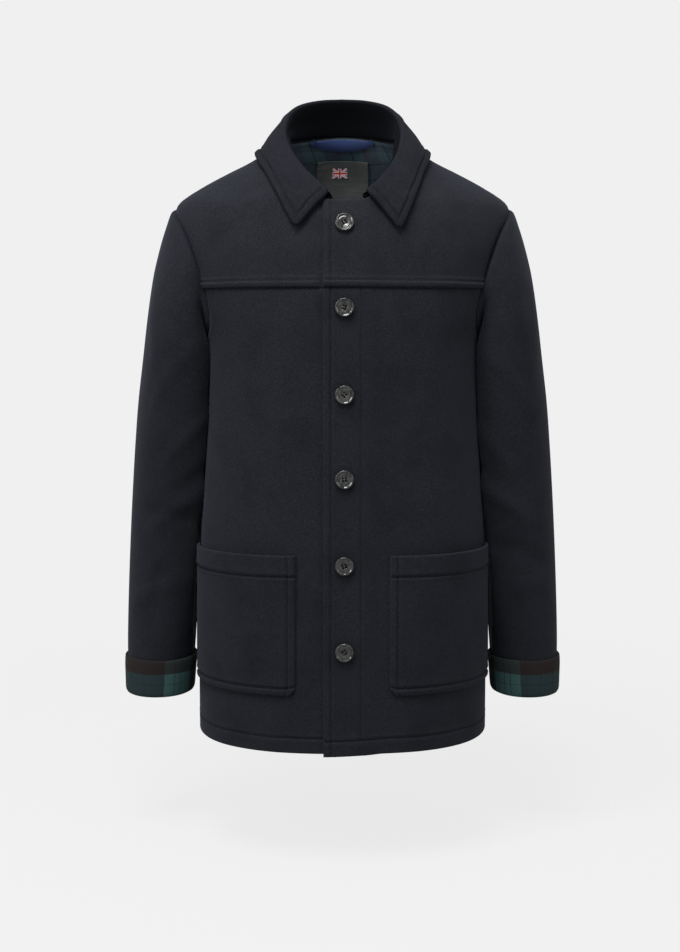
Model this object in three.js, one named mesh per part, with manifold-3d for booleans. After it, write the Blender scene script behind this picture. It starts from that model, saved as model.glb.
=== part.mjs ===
// A hip-length wool jacket, filled out as worn, with nobody in it.
// Millimetres, +Z up, the front faces -Y, the wearer's left is +X.
// The origin is the centre of the neck, level with the tops of the shoulders.
import * as THREE from 'three';
import { mergeVertices } from 'three/addons/utils/BufferGeometryUtils.js';
import Module from 'manifold-3d';

// Driving dimensions
const CLOTH = 3;               // wall of the melton shell
const SEAM_GAP = 0.3;          // clear space between two pieces at a seam
const HEM = -754;
const PLACKET_DROP = 3;        // the overlapping front hangs this much lower
const YOKE_SEAM = -190;
const NECK_FRONT = -85;
const SHOULDER_TIP = -86;
const UNDERARM = -262;
const BACK_NECK_RISE = 13;     // the back of the neck is this much higher than its sides
const OVERLAP_EDGE = 23.4;     // the left front reaches this far past the centre
const UNDERLAP_EDGE = 21;      // and the right front this far, below it
const LAP_LIFT = 3.5;          // how far the left front stands over the right one
const YOKE_LIP = 1.8;          // raised lower edge of the yoke
const COLLAR_CLOTH = 2.6;
const COLLAR_MIDDLE = 6;       // the collar's opening lies this far to the wearer's left
const LINING = 1.2;
const CUFF_TOP = -664;
const CUFF_BOTTOM = -712.5;
const SLEEVE_END = -708;
const POCKET = { inner: 57, outerY: -38, width: 178, top: -510, bottom: -683, corner: 15, bulge: 9 };
const BUTTON = { x: 2, radius: 11.25, thick: 4.4 };
const BUTTON_HEIGHTS = [-115, -214, -317, -418, -522, -627];

// The trunk's level sections, from the hem up: half width, depth to the front and to the back
// of its middle, how square it is (2 is an ellipse) and where its middle lies along Y.
const TRUNK = [
  { z: -760, half: 187, front: 151, back: 148, square: 2.5, middle: 0 },
  { z: -640, half: 186.5, front: 150, back: 146, square: 2.5, middle: 0 },
  { z: -500, half: 183, front: 147, back: 141, square: 2.5, middle: 0 },
  { z: -420, half: 178, front: 144.5, back: 137, square: 2.5, middle: 0 },
  { z: -340, half: 174.5, front: 142, back: 135, square: 2.5, middle: 0 },
  { z: -262, half: 176, front: 141, back: 137, square: 2.45, middle: 0 },
  { z: -228, half: 184, front: 140, back: 138, square: 2.4, middle: 0 },
  { z: -204, half: 194, front: 138.5, back: 137, square: 2.3, middle: 0 },
  { z: -173, half: 205, front: 136, back: 134, square: 2.25, middle: 1 },
  { z: -142, half: 211, front: 132, back: 130, square: 2.2, middle: 2 },
  { z: -112, half: 213, front: 125, back: 122, square: 2.15, middle: 4 },
  { z: -96, half: 213, front: 118.5, back: 117, square: 2.1, middle: 5 },
  { z: -84, half: 210, front: 112, back: 113.5, square: 2.05, middle: 5 },
  { z: -75, half: 201, front: 104, back: 110, square: 2, middle: 5 },
  { z: -60, half: 177, front: 89, back: 104, square: 2, middle: 5 },
  { z: -45, half: 149, front: 72.5, back: 97, square: 2, middle: 5 },
  { z: -30, half: 119, front: 56, back: 88, square: 2, middle: 5 },
  { z: -12, half: 91, front: 31, back: 77, square: 2, middle: 5 },
  { z: 0, half: 72, front: 10, back: 73, square: 2, middle: 5 },
];

// The armhole's front and back edges, from the underarm to the shoulder tip
const ARMHOLE_FRONT = [
  { z: UNDERARM, y: 0 }, { z: -260, y: -25 }, { z: -253, y: -50 }, { z: -241, y: -67 },
  { z: -226, y: -76 }, { z: -204, y: -80 }, { z: -180, y: -78 }, { z: -152, y: -70 },
  { z: -122, y: -52 }, { z: -98, y: -24 }, { z: SHOULDER_TIP, y: 5 },
];
const ARMHOLE_BACK = [
  { z: UNDERARM, y: 0 }, { z: -260, y: 25 }, { z: -252, y: 50 }, { z: -238, y: 68 },
  { z: -219, y: 80 }, { z: -195, y: 86 }, { z: -168, y: 86 }, { z: -138, y: 77 },
  { z: -112, y: 58 }, { z: -94, y: 32 }, { z: SHOULDER_TIP, y: 5 },
];
// How far the front neckline is from the middle of the neck, from the front up to the shoulder
const NECKLINE = [
  { z: NECK_FRONT, x: 20.5 }, { z: -76, x: 35 }, { z: -60, x: 50 }, { z: -40, x: 62 },
  { z: -18, x: 69 }, { z: -6, x: 71.5 }, { z: 0, x: 72 },
];

// The sleeve's slanted sections from the head of the sleeve to the wrist: the outer and the
// inner edge seen from the front, how far the section reaches to the front and the back, how far
// its front and back are drawn towards the armhole, and how far it lies over the front of the body.
const SLEEVE = [
  { outerX: 217.5, outerZ: -92, innerX: 179, innerZ: -259, front: -82.5, back: 89, bow: 19, lap: 0 },
  { outerX: 224, outerZ: -109, innerX: 178, innerZ: -263, front: -84, back: 94, bow: 13, lap: 6 },
  { outerX: 232, outerZ: -134, innerX: 176, innerZ: -270, front: -85, back: 98, bow: 9, lap: 11 },
  { outerX: 241, outerZ: -170, innerX: 173, innerZ: -284, front: -85, back: 100, bow: 5, lap: 16 },
  { outerX: 249.5, outerZ: -222, innerX: 170, innerZ: -307, front: -82, back: 100, bow: 2, lap: 17 },
  { outerX: 256.5, outerZ: -276, innerX: 169, innerZ: -337, front: -77, back: 96, bow: 0, lap: 17 },
  { outerX: 263.5, outerZ: -330, innerX: 170, innerZ: -374, front: -71, back: 90, bow: 0, lap: 17 },
  { outerX: 268.5, outerZ: -384, innerX: 172, innerZ: -416, front: -65, back: 84, bow: 0, lap: 16 },
  { outerX: 272.5, outerZ: -438, innerX: 175, innerZ: -460, front: -60, back: 78, bow: 0, lap: 15 },
  { outerX: 276, outerZ: -492, innerX: 178, innerZ: -506, front: -55, back: 72, bow: 0, lap: 13 },
  { outerX: 279, outerZ: -546, innerX: 182, innerZ: -554, front: -50, back: 67, bow: 0, lap: 10 },
  { outerX: 281.5, outerZ: -600, innerX: 186, innerZ: -604, front: -46, back: 63, bow: 0, lap: 5 },
  { outerX: 283, outerZ: -652, innerX: 194, innerZ: -654, front: -43, back: 60, bow: 0, lap: 0 },
  {
    outerX: 282.5, outerZ: SLEEVE_END, innerX: 200, innerZ: SLEEVE_END,
    front: -41, back: 58, bow: 0, lap: 0,
  },
];
const SLEEVE_CLEAR = [
  { z: -720, gap: 12 }, { z: -600, gap: 8 }, { z: -520, gap: 7 }, { z: -470, gap: 2.4 },
  { z: -330, gap: 1.8 }, { z: -250, gap: 1.8 },
];

// One half of the collar from the centre of the back (0) to its front end (1): its fold and the
// free edge of its fall. x is the distance from the middle of the neck.
const COLLAR = [
  { at: 0, foldX: 0, foldY: 74, foldZ: 60, edgeX: 0, edgeY: 97, edgeZ: 3 },
  { at: 0.15, foldX: 29, foldY: 70, foldZ: 58, edgeX: 38, edgeY: 92, edgeZ: 2 },
  { at: 0.3, foldX: 54, foldY: 55, foldZ: 50, edgeX: 72, edgeY: 74, edgeZ: -4 },
  { at: 0.42, foldX: 68, foldY: 33, foldZ: 37, edgeX: 95, edgeY: 42, edgeZ: -13 },
  { at: 0.52, foldX: 74, foldY: 8, foldZ: 21, edgeX: 107, edgeY: 8, edgeZ: -21 },
  { at: 0.62, foldX: 75, foldY: -18, foldZ: 4, edgeX: 106, edgeY: -28, edgeZ: -34 },
  { at: 0.72, foldX: 69, foldY: -46, foldZ: -18, edgeX: 97, edgeY: -60, edgeZ: -50 },
  { at: 0.82, foldX: 56.5, foldY: -72, foldZ: -40, edgeX: 86, edgeY: -92, edgeZ: -74 },
  { at: 0.92, foldX: 40, foldY: -94, foldZ: -60, edgeX: 73, edgeY: -113, edgeZ: -99 },
  { at: 1, foldX: 24, foldY: -108, foldZ: -74, edgeX: 61, edgeY: -122, edgeZ: -118 },
];

const RIGHT = -1;
const LEFT = 1;
const QUARTER = Math.PI / 2;
const { clamp, lerp, smoothstep } = THREE.MathUtils;

// Numbers and curves

// A smooth curve through one column of a table, read along another column that rises.
function curve(rows, along, column) {
  const at = rows.map((row) => row[along]);
  const value = rows.map((row) => row[column]);
  const last = at.length - 1;
  const slope = at.map((_, i) => {
    const before = Math.max(i - 1, 0);
    const after = Math.min(i + 1, last);
    return (value[after] - value[before]) / (at[after] - at[before]);
  });
  return (where) => {
    let i = 0;
    while (i < last - 1 && where > at[i + 1]) i += 1;
    const step = at[i + 1] - at[i];
    const t = clamp((where - at[i]) / step, 0, 1);
    const bend = t * (1 - t);
    const line = lerp(value[i], value[i + 1], t * t * (3 - 2 * t));
    return line + step * bend * ((1 - t) * slope[i] - t * slope[i + 1]);
  };
}

const range = (count) => Array.from({ length: count }, (_, i) => i);
const steps = (count) => range(count + 1).map((i) => i / count);
const between = (a, b, t) => ({ reach: lerp(a.reach, b.reach, t), z: lerp(a.z, b.z, t) });

// The trunk's surface. A place on it is an angle around the trunk (0 at the centre front, half a
// turn at the centre back, always counted towards `side`) and a height.

const trunk = {};
for (const column of ['half', 'front', 'back', 'square', 'middle']) {
  trunk[column] = curve(TRUNK, 'z', column);
}

function sectionRadius(angle, z) {
  const deep = Math.cos(angle) > 0 ? trunk.front(z) : trunk.back(z);
  const n = trunk.square(z);
  const across = Math.abs(Math.sin(angle)) / trunk.half(z);
  const along = Math.abs(Math.cos(angle)) / deep;
  return (across ** n + along ** n) ** (-1 / n);
}

// Towards the centre of the back the rows rise to the back of the neck
function backRise(angle, z) {
  const behind = Math.max(0, -Math.cos(angle));
  return BACK_NECK_RISE * behind ** 2 * smoothstep(z, -150, 0);
}

function bare(angle, z) {
  const r = sectionRadius(angle, z);
  const y = trunk.middle(z) - r * Math.cos(angle);
  return new THREE.Vector3(r * Math.sin(angle), y, z + backRise(angle, z));
}

function bareNormal(angle, z) {
  const turn = 0.004;
  const rise = 0.4;
  const around = bare(angle + turn, z).sub(bare(angle - turn, z));
  const up = bare(angle, z + rise).sub(bare(angle, z - rise));
  return around.cross(up).normalize();
}

// How far the front that lies on top is raised over the one below it
function lapLift(side, x) {
  return side === LEFT ? LAP_LIFT * (1 - smoothstep(x, 28, 50)) : 0;
}

// A point `out` from the cloth's outer face
function onTrunk(side, place, out = 0) {
  const point = bare(place.angle, place.z);
  const front = Math.cos(place.angle) > 0 ? lapLift(side, point.x) : 0;
  point.addScaledVector(bareNormal(place.angle, place.z), out + front);
  point.x *= side;
  return point;
}

function normalOn(side, place) {
  const normal = bareNormal(place.angle, place.z);
  normal.x *= side;
  return normal;
}

// The angle at which the trunk's section at z reaches x, in front, or y
function angleAtX(z, x) {
  const n = trunk.square(z);
  const rest = Math.max(0, 1 - Math.min(1, Math.abs(x) / trunk.half(z)) ** n);
  return Math.atan2(x, trunk.front(z) * rest ** (1 / n));
}

function angleAtY(z, y) {
  const away = y - trunk.middle(z);
  const deep = away < 0 ? trunk.front(z) : trunk.back(z);
  const n = trunk.square(z);
  const x = trunk.half(z) * (1 - (Math.abs(away) / deep) ** n) ** (1 / n);
  return Math.atan2(x, -away);
}

// Moves a point straight out until it is `gap` clear of the trunk's outer face
function clearOfTrunk(point, gap, side) {
  const height = (p) => {
    const away = p.y - trunk.middle(p.z);
    const angle = Math.atan2(Math.abs(p.x), -away);
    const z = clamp(p.z - backRise(angle, p.z), HEM, 0);
    const lift = Math.cos(angle) > 0 ? lapLift(side, Math.abs(p.x)) : 0;
    return Math.hypot(p.x, away) - sectionRadius(angle, z) - lift;
  };
  const step = 0.5;
  for (let round = 0; round < 8; round += 1) {
    const here = height(point);
    const slope = new THREE.Vector3();
    for (const axis of ['x', 'y', 'z']) {
      const aside = point.clone();
      aside[axis] += step;
      slope[axis] = (height(aside) - here) / step;
    }
    const clear = here / slope.length();
    if (clear > gap) return point;
    point.addScaledVector(slope.normalize(), gap - clear);
  }
  return point;
}

// Solids

const wasm = await Module();
wasm.setup();

// A closed solid from points and triangles, with its faces turned outwards
function solid(points, triangles) {
  let volume = 0;
  for (const [a, b, c] of triangles) {
    volume += points[a].dot(points[b].clone().cross(points[c]));
  }
  const faces = volume < 0 ? triangles.map(([a, b, c]) => [a, c, b]) : triangles;
  const geometry = new THREE.BufferGeometry();
  const numbers = points.flatMap((p) => [p.x, p.y, p.z]);
  geometry.setAttribute('position', new THREE.Float32BufferAttribute(numbers, 3));
  geometry.setIndex(faces.flat());
  geometry.computeVertexNormals();
  return geometry;
}

// A wall between two grids of points with the same rows and columns. A ring's rows close on
// themselves; a loop's columns do too, so that it has no free edge.
function wall(outer, inner, ring = false) {
  const rows = outer.length;
  const columns = outer[0].length;
  const points = [...outer.flat(), ...inner.flat()];
  const at = (layer, i, j) => (layer * rows + i) * columns + (j % columns);
  const triangles = [];
  const quad = (a, b, c, d) => {
    const across = points[a].distanceTo(points[c]) <= points[b].distanceTo(points[d]);
    triangles.push(...(across ? [[a, b, c], [a, c, d]] : [[a, b, d], [b, c, d]]));
  };
  const spans = ring ? columns : columns - 1;
  for (const i of range(rows - 1)) {
    for (const j of range(spans)) {
      quad(at(0, i, j), at(0, i, j + 1), at(0, i + 1, j + 1), at(0, i + 1, j));
      quad(at(1, i, j), at(1, i + 1, j), at(1, i + 1, j + 1), at(1, i, j + 1));
    }
  }
  for (const j of range(spans)) {
    quad(at(0, 0, j), at(1, 0, j), at(1, 0, j + 1), at(0, 0, j + 1));
    quad(at(0, rows - 1, j), at(0, rows - 1, j + 1), at(1, rows - 1, j + 1), at(1, rows - 1, j));
  }
  if (!ring) {
    for (const i of range(rows - 1)) {
      quad(at(0, i, 0), at(0, i + 1, 0), at(1, i + 1, 0), at(1, i, 0));
      quad(at(0, i, columns - 1), at(1, i, columns - 1), at(1, i + 1, columns - 1), at(0, i + 1, columns - 1));
    }
  }
  return solid(points, triangles);
}

// The directions square to a grid of points
function gridNormals(grid, ring) {
  const rows = grid.length;
  const columns = grid[0].length;
  return grid.map((row, i) => row.map((_, j) => {
    const before = ring ? (j + columns - 1) % columns : Math.max(j - 1, 0);
    const after = ring ? (j + 1) % columns : Math.min(j + 1, columns - 1);
    const across = row[after].clone().sub(row[before]);
    const along = grid[Math.min(i + 1, rows - 1)][j].clone().sub(grid[Math.max(i - 1, 0)][j]);
    return across.cross(along).normalize();
  }));
}

const moved = (grid, normals, distance) => (
  grid.map((row, i) => row.map((p, j) => p.clone().addScaledVector(normals[i][j], distance)))
);

// Cut pieces: each is bounded by four edges, given as places on the trunk

// Lengths along the level section at z, from the centre front or back, at even angles
const TURNS = 48;
const WIDEST_TURN = 1.2 * QUARTER;
function sectionLengths(z, fromBack) {
  const points = range(TURNS + 1).map((i) => {
    const angle = (i / TURNS) * WIDEST_TURN;
    return bare(fromBack ? Math.PI - angle : angle, z).setZ(0);
  });
  const lengths = [0];
  for (const i of range(TURNS)) lengths.push(lengths[i] + points[i].distanceTo(points[i + 1]));
  return lengths;
}

// The angle of a place as a length along its section, and back again
function toReach({ angle, z }, fromBack) {
  const lengths = sectionLengths(z, fromBack);
  const turn = fromBack ? Math.PI - angle : angle;
  const at = (Math.abs(turn) / WIDEST_TURN) * TURNS;
  const i = Math.min(Math.floor(at), TURNS - 1);
  return { reach: Math.sign(turn) * lerp(lengths[i], lengths[i + 1], at - i), z };
}

function toAngle({ reach, z }, fromBack) {
  const lengths = sectionLengths(z, fromBack);
  let i = 0;
  while (i < TURNS - 1 && Math.abs(reach) > lengths[i + 1]) i += 1;
  const at = i + (Math.abs(reach) - lengths[i]) / (lengths[i + 1] - lengths[i]);
  const turn = (Math.sign(reach) * at * WIDEST_TURN) / TURNS;
  return { angle: fromBack ? Math.PI - turn : turn, z };
}

// Fills the space between four edges; left and right run upwards, bottom and top away from the
// centre, all from 0 to 1.
function fill({ left, right, bottom, top }, fromBack) {
  const on = (edge, t) => toReach(edge(t), fromBack);
  const corner = [[on(bottom, 0), on(bottom, 1)], [on(top, 0), on(top, 1)]];
  return (u, v) => {
    const level = between(on(bottom, u), on(top, u), v);
    const upright = between(on(left, v), on(right, v), u);
    const low = between(corner[0][0], corner[0][1], u);
    const high = between(corner[1][0], corner[1][1], u);
    const flat = between(low, high, v);
    const reach = level.reach + upright.reach - flat.reach;
    return toAngle({ reach, z: level.z + upright.z - flat.z }, fromBack);
  };
}

const halfGap = (z) => SEAM_GAP / 2 / trunk.half(z);
const sampled = (points) => {
  const spline = new THREE.SplineCurve(points.map((p) => new THREE.Vector2(p.angle, p.z)));
  return (t) => {
    const p = spline.getPoint(t);
    return { angle: p.x, z: p.y };
  };
};
const armholeOf = (rows) => sampled(rows.map(({ z, y }) => ({ angle: angleAtY(z, y), z })));
const armholeFront = armholeOf(ARMHOLE_FRONT);
const armholeBack = armholeOf(ARMHOLE_BACK);

// The front neckline from the collar's end to the shoulder; the middle of the opening lies
// towards the wearer's left at the front and at the centre by the shoulders.
const necklineX = (side, row) => row.x + side * COLLAR_MIDDLE * (row.z / NECK_FRONT) ** 2;
const neckFront = {};
for (const side of [RIGHT, LEFT]) {
  neckFront[side] = sampled(NECKLINE.map((row) => (
    { angle: angleAtX(row.z, necklineX(side, row)), z: row.z })));
}
const neckBack = (t) => ({ angle: lerp(2 * QUARTER, QUARTER, t), z: 0 });

// Columns and rows are bunched where an edge bends
const FRONT_COLUMNS = [0, 0.1, 0.2, 0.29, 0.39, 0.49, 0.6, 0.7, 0.8, 0.9, 1];
const YOKE_COLUMNS = [0, 0.1, 0.2, 0.26, 0.3, 0.35, 0.4, 0.45, 0.5, 0.58, 0.67, 0.75, 0.83, 0.92, 1];
const SIDE_ROWS = 11;
const FRONT_ARM_ROWS = 5;
const BACK_ARM_ROWS = 11;
const YOKE_ROWS = [0, 0.06, 0.13, 0.3, 0.48, 0.66, 0.83, 1];
// Rows that leave the side at the underarm reach the centre at these heights
const FRONT_CHEST = -275;
const BACK_CHEST = -350;
const NECK_SHARE = 0.5;
const HALF_BACK_COLUMNS = 9;
const NECK_COLUMNS = 4;        // of them along the neck, the others along the shoulder

// A curve in two stretches that meet at `share`
const joined = (share, first, second) => (t) => (
  t < share ? first(t / share) : second((t - share) / (1 - share))
);

const edgeX = { [LEFT]: -OVERLAP_EDGE, [RIGHT]: -UNDERLAP_EDGE };
// Where the armhole crosses the yoke seam, as a share of the armhole's front edge
const yokeAt = (() => {
  let low = 0.3;
  let high = 0.9;
  for (let i = 0; i < 30; i += 1) {
    const middle = (low + high) / 2;
    if (armholeFront(middle).z < YOKE_SEAM) low = middle;
    else high = middle;
  }
  return low;
})();

function gridOf(place, columns, rows, point) {
  return rows.map((v) => columns.map((u) => point(place(u, v), u, v)));
}

function frontPanel(side) {
  const share = SIDE_ROWS / (SIDE_ROWS + FRONT_ARM_ROWS);
  const top = YOKE_SEAM - SEAM_GAP / 2;
  const low = (u) => HEM - (side === LEFT ? PLACKET_DROP * (1 - smoothstep(u, 0, 0.3)) : 0);
  const start = (z) => angleAtX(z, edgeX[side]);
  const corner = armholeFront(yokeAt);
  const sideSeam = (t) => {
    const z = lerp(HEM, UNDERARM, t);
    return { angle: QUARTER - halfGap(z), z };
  };
  const arm = (t) => {
    const place = armholeFront(t * yokeAt);
    return { angle: Math.min(place.angle, QUARTER - halfGap(place.z)), z: Math.min(place.z, top) };
  };
  const place = fill({
    left: (t) => {
      const z = t < share ? lerp(low(0), FRONT_CHEST, t / share)
        : lerp(FRONT_CHEST, top, (t - share) / (1 - share));
      return { angle: start(z), z };
    },
    right: joined(share, sideSeam, arm),
    bottom: (t) => ({ angle: lerp(start(low(0)), QUARTER - halfGap(HEM), t), z: low(t) }),
    top: (t) => ({ angle: lerp(start(top), corner.angle, t), z: top }),
  }, false);
  const rows = steps(SIDE_ROWS + FRONT_ARM_ROWS);
  const outer = gridOf(place, FRONT_COLUMNS, rows, (p) => onTrunk(side, p));
  const inner = gridOf(place, FRONT_COLUMNS, rows, (p) => onTrunk(side, p, -CLOTH));
  return wall(outer, inner);
}

function frontYoke(side) {
  const bottom = YOKE_SEAM + SEAM_GAP / 2;
  const start = (z) => angleAtX(z, edgeX[side]);
  const collarEnd = neckFront[side](0);
  const flat = 0.4;
  const neck = joined(flat,
    (t) => ({ angle: lerp(start(NECK_FRONT), collarEnd.angle, t), z: NECK_FRONT }),
    (t) => neckFront[side](t));
  const shoulder = (t) => {
    const z = lerp(-1, SHOULDER_TIP, t);
    return { angle: QUARTER - halfGap(z), z };
  };
  const place = fill({
    left: (t) => {
      const z = lerp(bottom, NECK_FRONT, t);
      return { angle: start(z), z };
    },
    right: (t) => {
      const p = armholeFront(lerp(yokeAt, 1, t));
      return { angle: Math.min(p.angle, QUARTER - halfGap(p.z)), z: Math.max(p.z, bottom) };
    },
    bottom: (t) => ({ angle: lerp(start(bottom), armholeFront(yokeAt).angle, t), z: bottom }),
    top: joined(NECK_SHARE, (t) => neck(Math.min(t, 0.995)), shoulder),
  }, false);
  // The lip fades where the other front lies on this one
  const shown = (p) => (side === LEFT ? 1 : smoothstep(bare(p.angle, p.z).x, 26, 33));
  const lip = (p) => YOKE_LIP * shown(p) * (1 - smoothstep(p.z, bottom + 5, bottom + 16));
  const outer = gridOf(place, YOKE_COLUMNS, YOKE_ROWS, (p) => onTrunk(side, p, lip(p)));
  const inner = gridOf(place, YOKE_COLUMNS, YOKE_ROWS, (p) => onTrunk(side, p, -CLOTH));
  return wall(outer, inner);
}

const backPlace = (() => {
  const share = SIDE_ROWS / (SIDE_ROWS + BACK_ARM_ROWS);
  const sideSeam = (t) => {
    const z = lerp(HEM, UNDERARM, t);
    return { angle: QUARTER + halfGap(z), z };
  };
  const arm = (t) => {
    const p = armholeBack(t);
    return { angle: Math.max(p.angle, QUARTER + halfGap(p.z)), z: p.z };
  };
  const shoulder = (t) => {
    const z = lerp(0, SHOULDER_TIP, t);
    return { angle: QUARTER + halfGap(z), z };
  };
  return fill({
    left: joined(share,
      (t) => ({ angle: 2 * QUARTER, z: lerp(HEM, BACK_CHEST, t) }),
      (t) => ({ angle: 2 * QUARTER, z: lerp(BACK_CHEST, 0, t) })),
    right: joined(share, sideSeam, arm),
    bottom: (t) => ({ angle: lerp(2 * QUARTER, QUARTER + halfGap(HEM), t), z: HEM }),
    top: joined(NECK_COLUMNS / HALF_BACK_COLUMNS, neckBack, shoulder),
  }, true);
})();

const BACK_ROWS = SIDE_ROWS + BACK_ARM_ROWS;

// A layer of the back's points from one row and column to another, moved `out`
function backLayer(firstRow, lastRow, reach, out) {
  return range(lastRow - firstRow + 1).map((i) => range(2 * reach + 1).map((j) => {
    const u = (j - reach) / HALF_BACK_COLUMNS;
    const place = backPlace(Math.abs(u), (firstRow + i) / BACK_ROWS);
    return onTrunk(u < 0 ? RIGHT : LEFT, place, out);
  }));
}

function backPanel() {
  const layer = (out) => backLayer(0, BACK_ROWS, HALF_BACK_COLUMNS, out);
  return wall(layer(0), layer(-CLOTH));
}

// The sleeve: a ring at the armhole, then slanted rings down to the wrist

const EVEN = 2.1;              // how square the sleeve's sections are
// The sleeve's head meets the panels point by point: from the shoulder tip down the front to
// the underarm, and up the back. Lower rings have as many points on each half.
const FRONT_STOPS = [
  ...YOKE_ROWS.map((v) => lerp(yokeAt, 1, v)).reverse(),
  ...range(FRONT_ARM_ROWS).map((i) => (yokeAt * i) / FRONT_ARM_ROWS).reverse(),
];
const BACK_STOPS = range(BACK_ARM_ROWS).map((i) => i / BACK_ARM_ROWS).slice(1);
const RING = [
  ...FRONT_STOPS.map((t, i) => ({ edge: armholeFront, t, angle: (Math.PI * i) / (FRONT_STOPS.length - 1) })),
  ...BACK_STOPS.map((t) => ({ edge: armholeBack, t, angle: Math.PI * (1 + t) })),
];

// The armhole's edge, moved `gap` away from the panels along their faces
function armholeRing(side, gap) {
  return RING.map(({ edge, t }) => {
    const place = edge(t);
    const ahead = edge(clamp(t + 0.01, 0, 1));
    const behind = edge(clamp(t - 0.01, 0, 1));
    const normal = normalOn(side, place);
    const run = onTrunk(side, ahead).sub(onTrunk(side, behind));
    const away = run.cross(normal).normalize();
    const point = onTrunk(side, place);
    const centre = new THREE.Vector3(point.x, 0, (SHOULDER_TIP + UNDERARM) / 2);
    if (away.dot(centre.sub(point)) < 0) away.negate();
    return { point: point.addScaledVector(away, gap), normal };
  });
}

const LAP_TURN = 2.23;         // where the sleeve lies over the body, counted from its outer edge
const LAP_SPREAD = 0.5;
const power = (value) => Math.sign(value) * Math.abs(value) ** (2 / EVEN);
const sleeveClear = curve(SLEEVE_CLEAR, 'z', 'gap');

function sleeveRing(side, row) {
  const middle = (row.front + row.back) / 2;
  const deep = (row.back - row.front) / 2;
  return RING.map(({ angle }) => {
    const outwards = power(Math.cos(angle)) / 2;
    const bow = row.bow * Math.sin(angle) ** 2;
    const lap = row.lap * Math.exp(-(((angle - LAP_TURN) / LAP_SPREAD) ** 2));
    const point = new THREE.Vector3(
      side * ((row.outerX + row.innerX) / 2 + (row.outerX - row.innerX) * outwards - bow - lap),
      middle - deep * power(Math.sin(angle)),
      (row.outerZ + row.innerZ) / 2 + (row.outerZ - row.innerZ) * outwards,
    );
    return clearOfTrunk(point, sleeveClear(point.z), side);
  });
}

function sleeveGrid(side) {
  const head = armholeRing(side, SEAM_GAP);
  const grid = [head.map(({ point }) => point), ...SLEEVE.map((row) => sleeveRing(side, row))];
  const normals = gridNormals(grid, true);
  const flip = normals[5][0].x * side < 0 ? -1 : 1;
  normals.flat().forEach((normal) => normal.multiplyScalar(flip));
  // At the shoulder the seam edge is square to the trunk's cloth, at the underarm to the sleeve's
  head.forEach(({ point, normal }, i) => {
    const low = 1 - smoothstep(point.z, UNDERARM + 10, UNDERARM + 60);
    normals[0][i].lerpVectors(normal, normals[0][i], low).normalize();
  });
  return { grid, normals };
}

function sleeve(side) {
  const { grid, normals } = sleeveGrid(side);
  return wall(grid, moved(grid, normals, -CLOTH), true);
}

// The cuff wraps the sleeve's end: up the outside and a little way up the inside
function cuff(side) {
  const outside = 3.2;
  const inside = -6;
  const turn = 16;             // how far it reaches up inside the sleeve
  const near = SEAM_GAP + 0.3;
  const clear = -SEAM_GAP - 1;
  const section = [
    [near, CUFF_TOP], [outside, CUFF_TOP - 0.5], [outside + 0.5, CUFF_BOTTOM + 4],
    [outside - 1.5, CUFF_BOTTOM], [inside + 1.5, CUFF_BOTTOM], [inside, CUFF_BOTTOM + 3],
    [inside, CUFF_BOTTOM + turn], [clear - CLOTH, CUFF_BOTTOM + turn],
    [clear - CLOTH, SLEEVE_END - SEAM_GAP], [near, SLEEVE_END - SEAM_GAP],
  ];
  const { grid, normals } = sleeveGrid(side);
  const last = grid.length - 1;
  const above = grid[last - 1];
  const below = grid[last];
  const points = section.map(([out, z]) => below.map((end, j) => {
    const t = (z - end.z) / (above[j].z - end.z);
    const point = end.clone().lerp(above[j], t);
    const normal = normals[last][j].clone().setZ(0).normalize();
    point.addScaledVector(normal, out);
    point.z = z;
    return point;
  }));
  return loop(points);
}

// A closed ring with a closed section: rows are the section's corners
function loop(grid) {
  const rows = grid.length;
  const columns = grid[0].length;
  const at = (i, j) => (i % rows) * columns + (j % columns);
  const triangles = [];
  for (const i of range(rows)) {
    for (const j of range(columns)) {
      triangles.push([at(i, j), at(i, j + 1), at(i + 1, j + 1)]);
      triangles.push([at(i, j), at(i + 1, j + 1), at(i + 1, j)]);
    }
  }
  return solid(grid.flat(), triangles);
}

// The collar: a stand up from the neck seam, a rolled fold and a fall, in one turned-down piece

const collarCurve = {};
for (const column of ['foldX', 'foldY', 'foldZ', 'edgeX', 'edgeY', 'edgeZ']) {
  collarCurve[column] = curve(COLLAR, 'at', column);
}

function neckPlace(side, t) {
  return t <= 0.5 ? neckBack(2 * t) : neckFront[side](2 - 2 * t);
}

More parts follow.
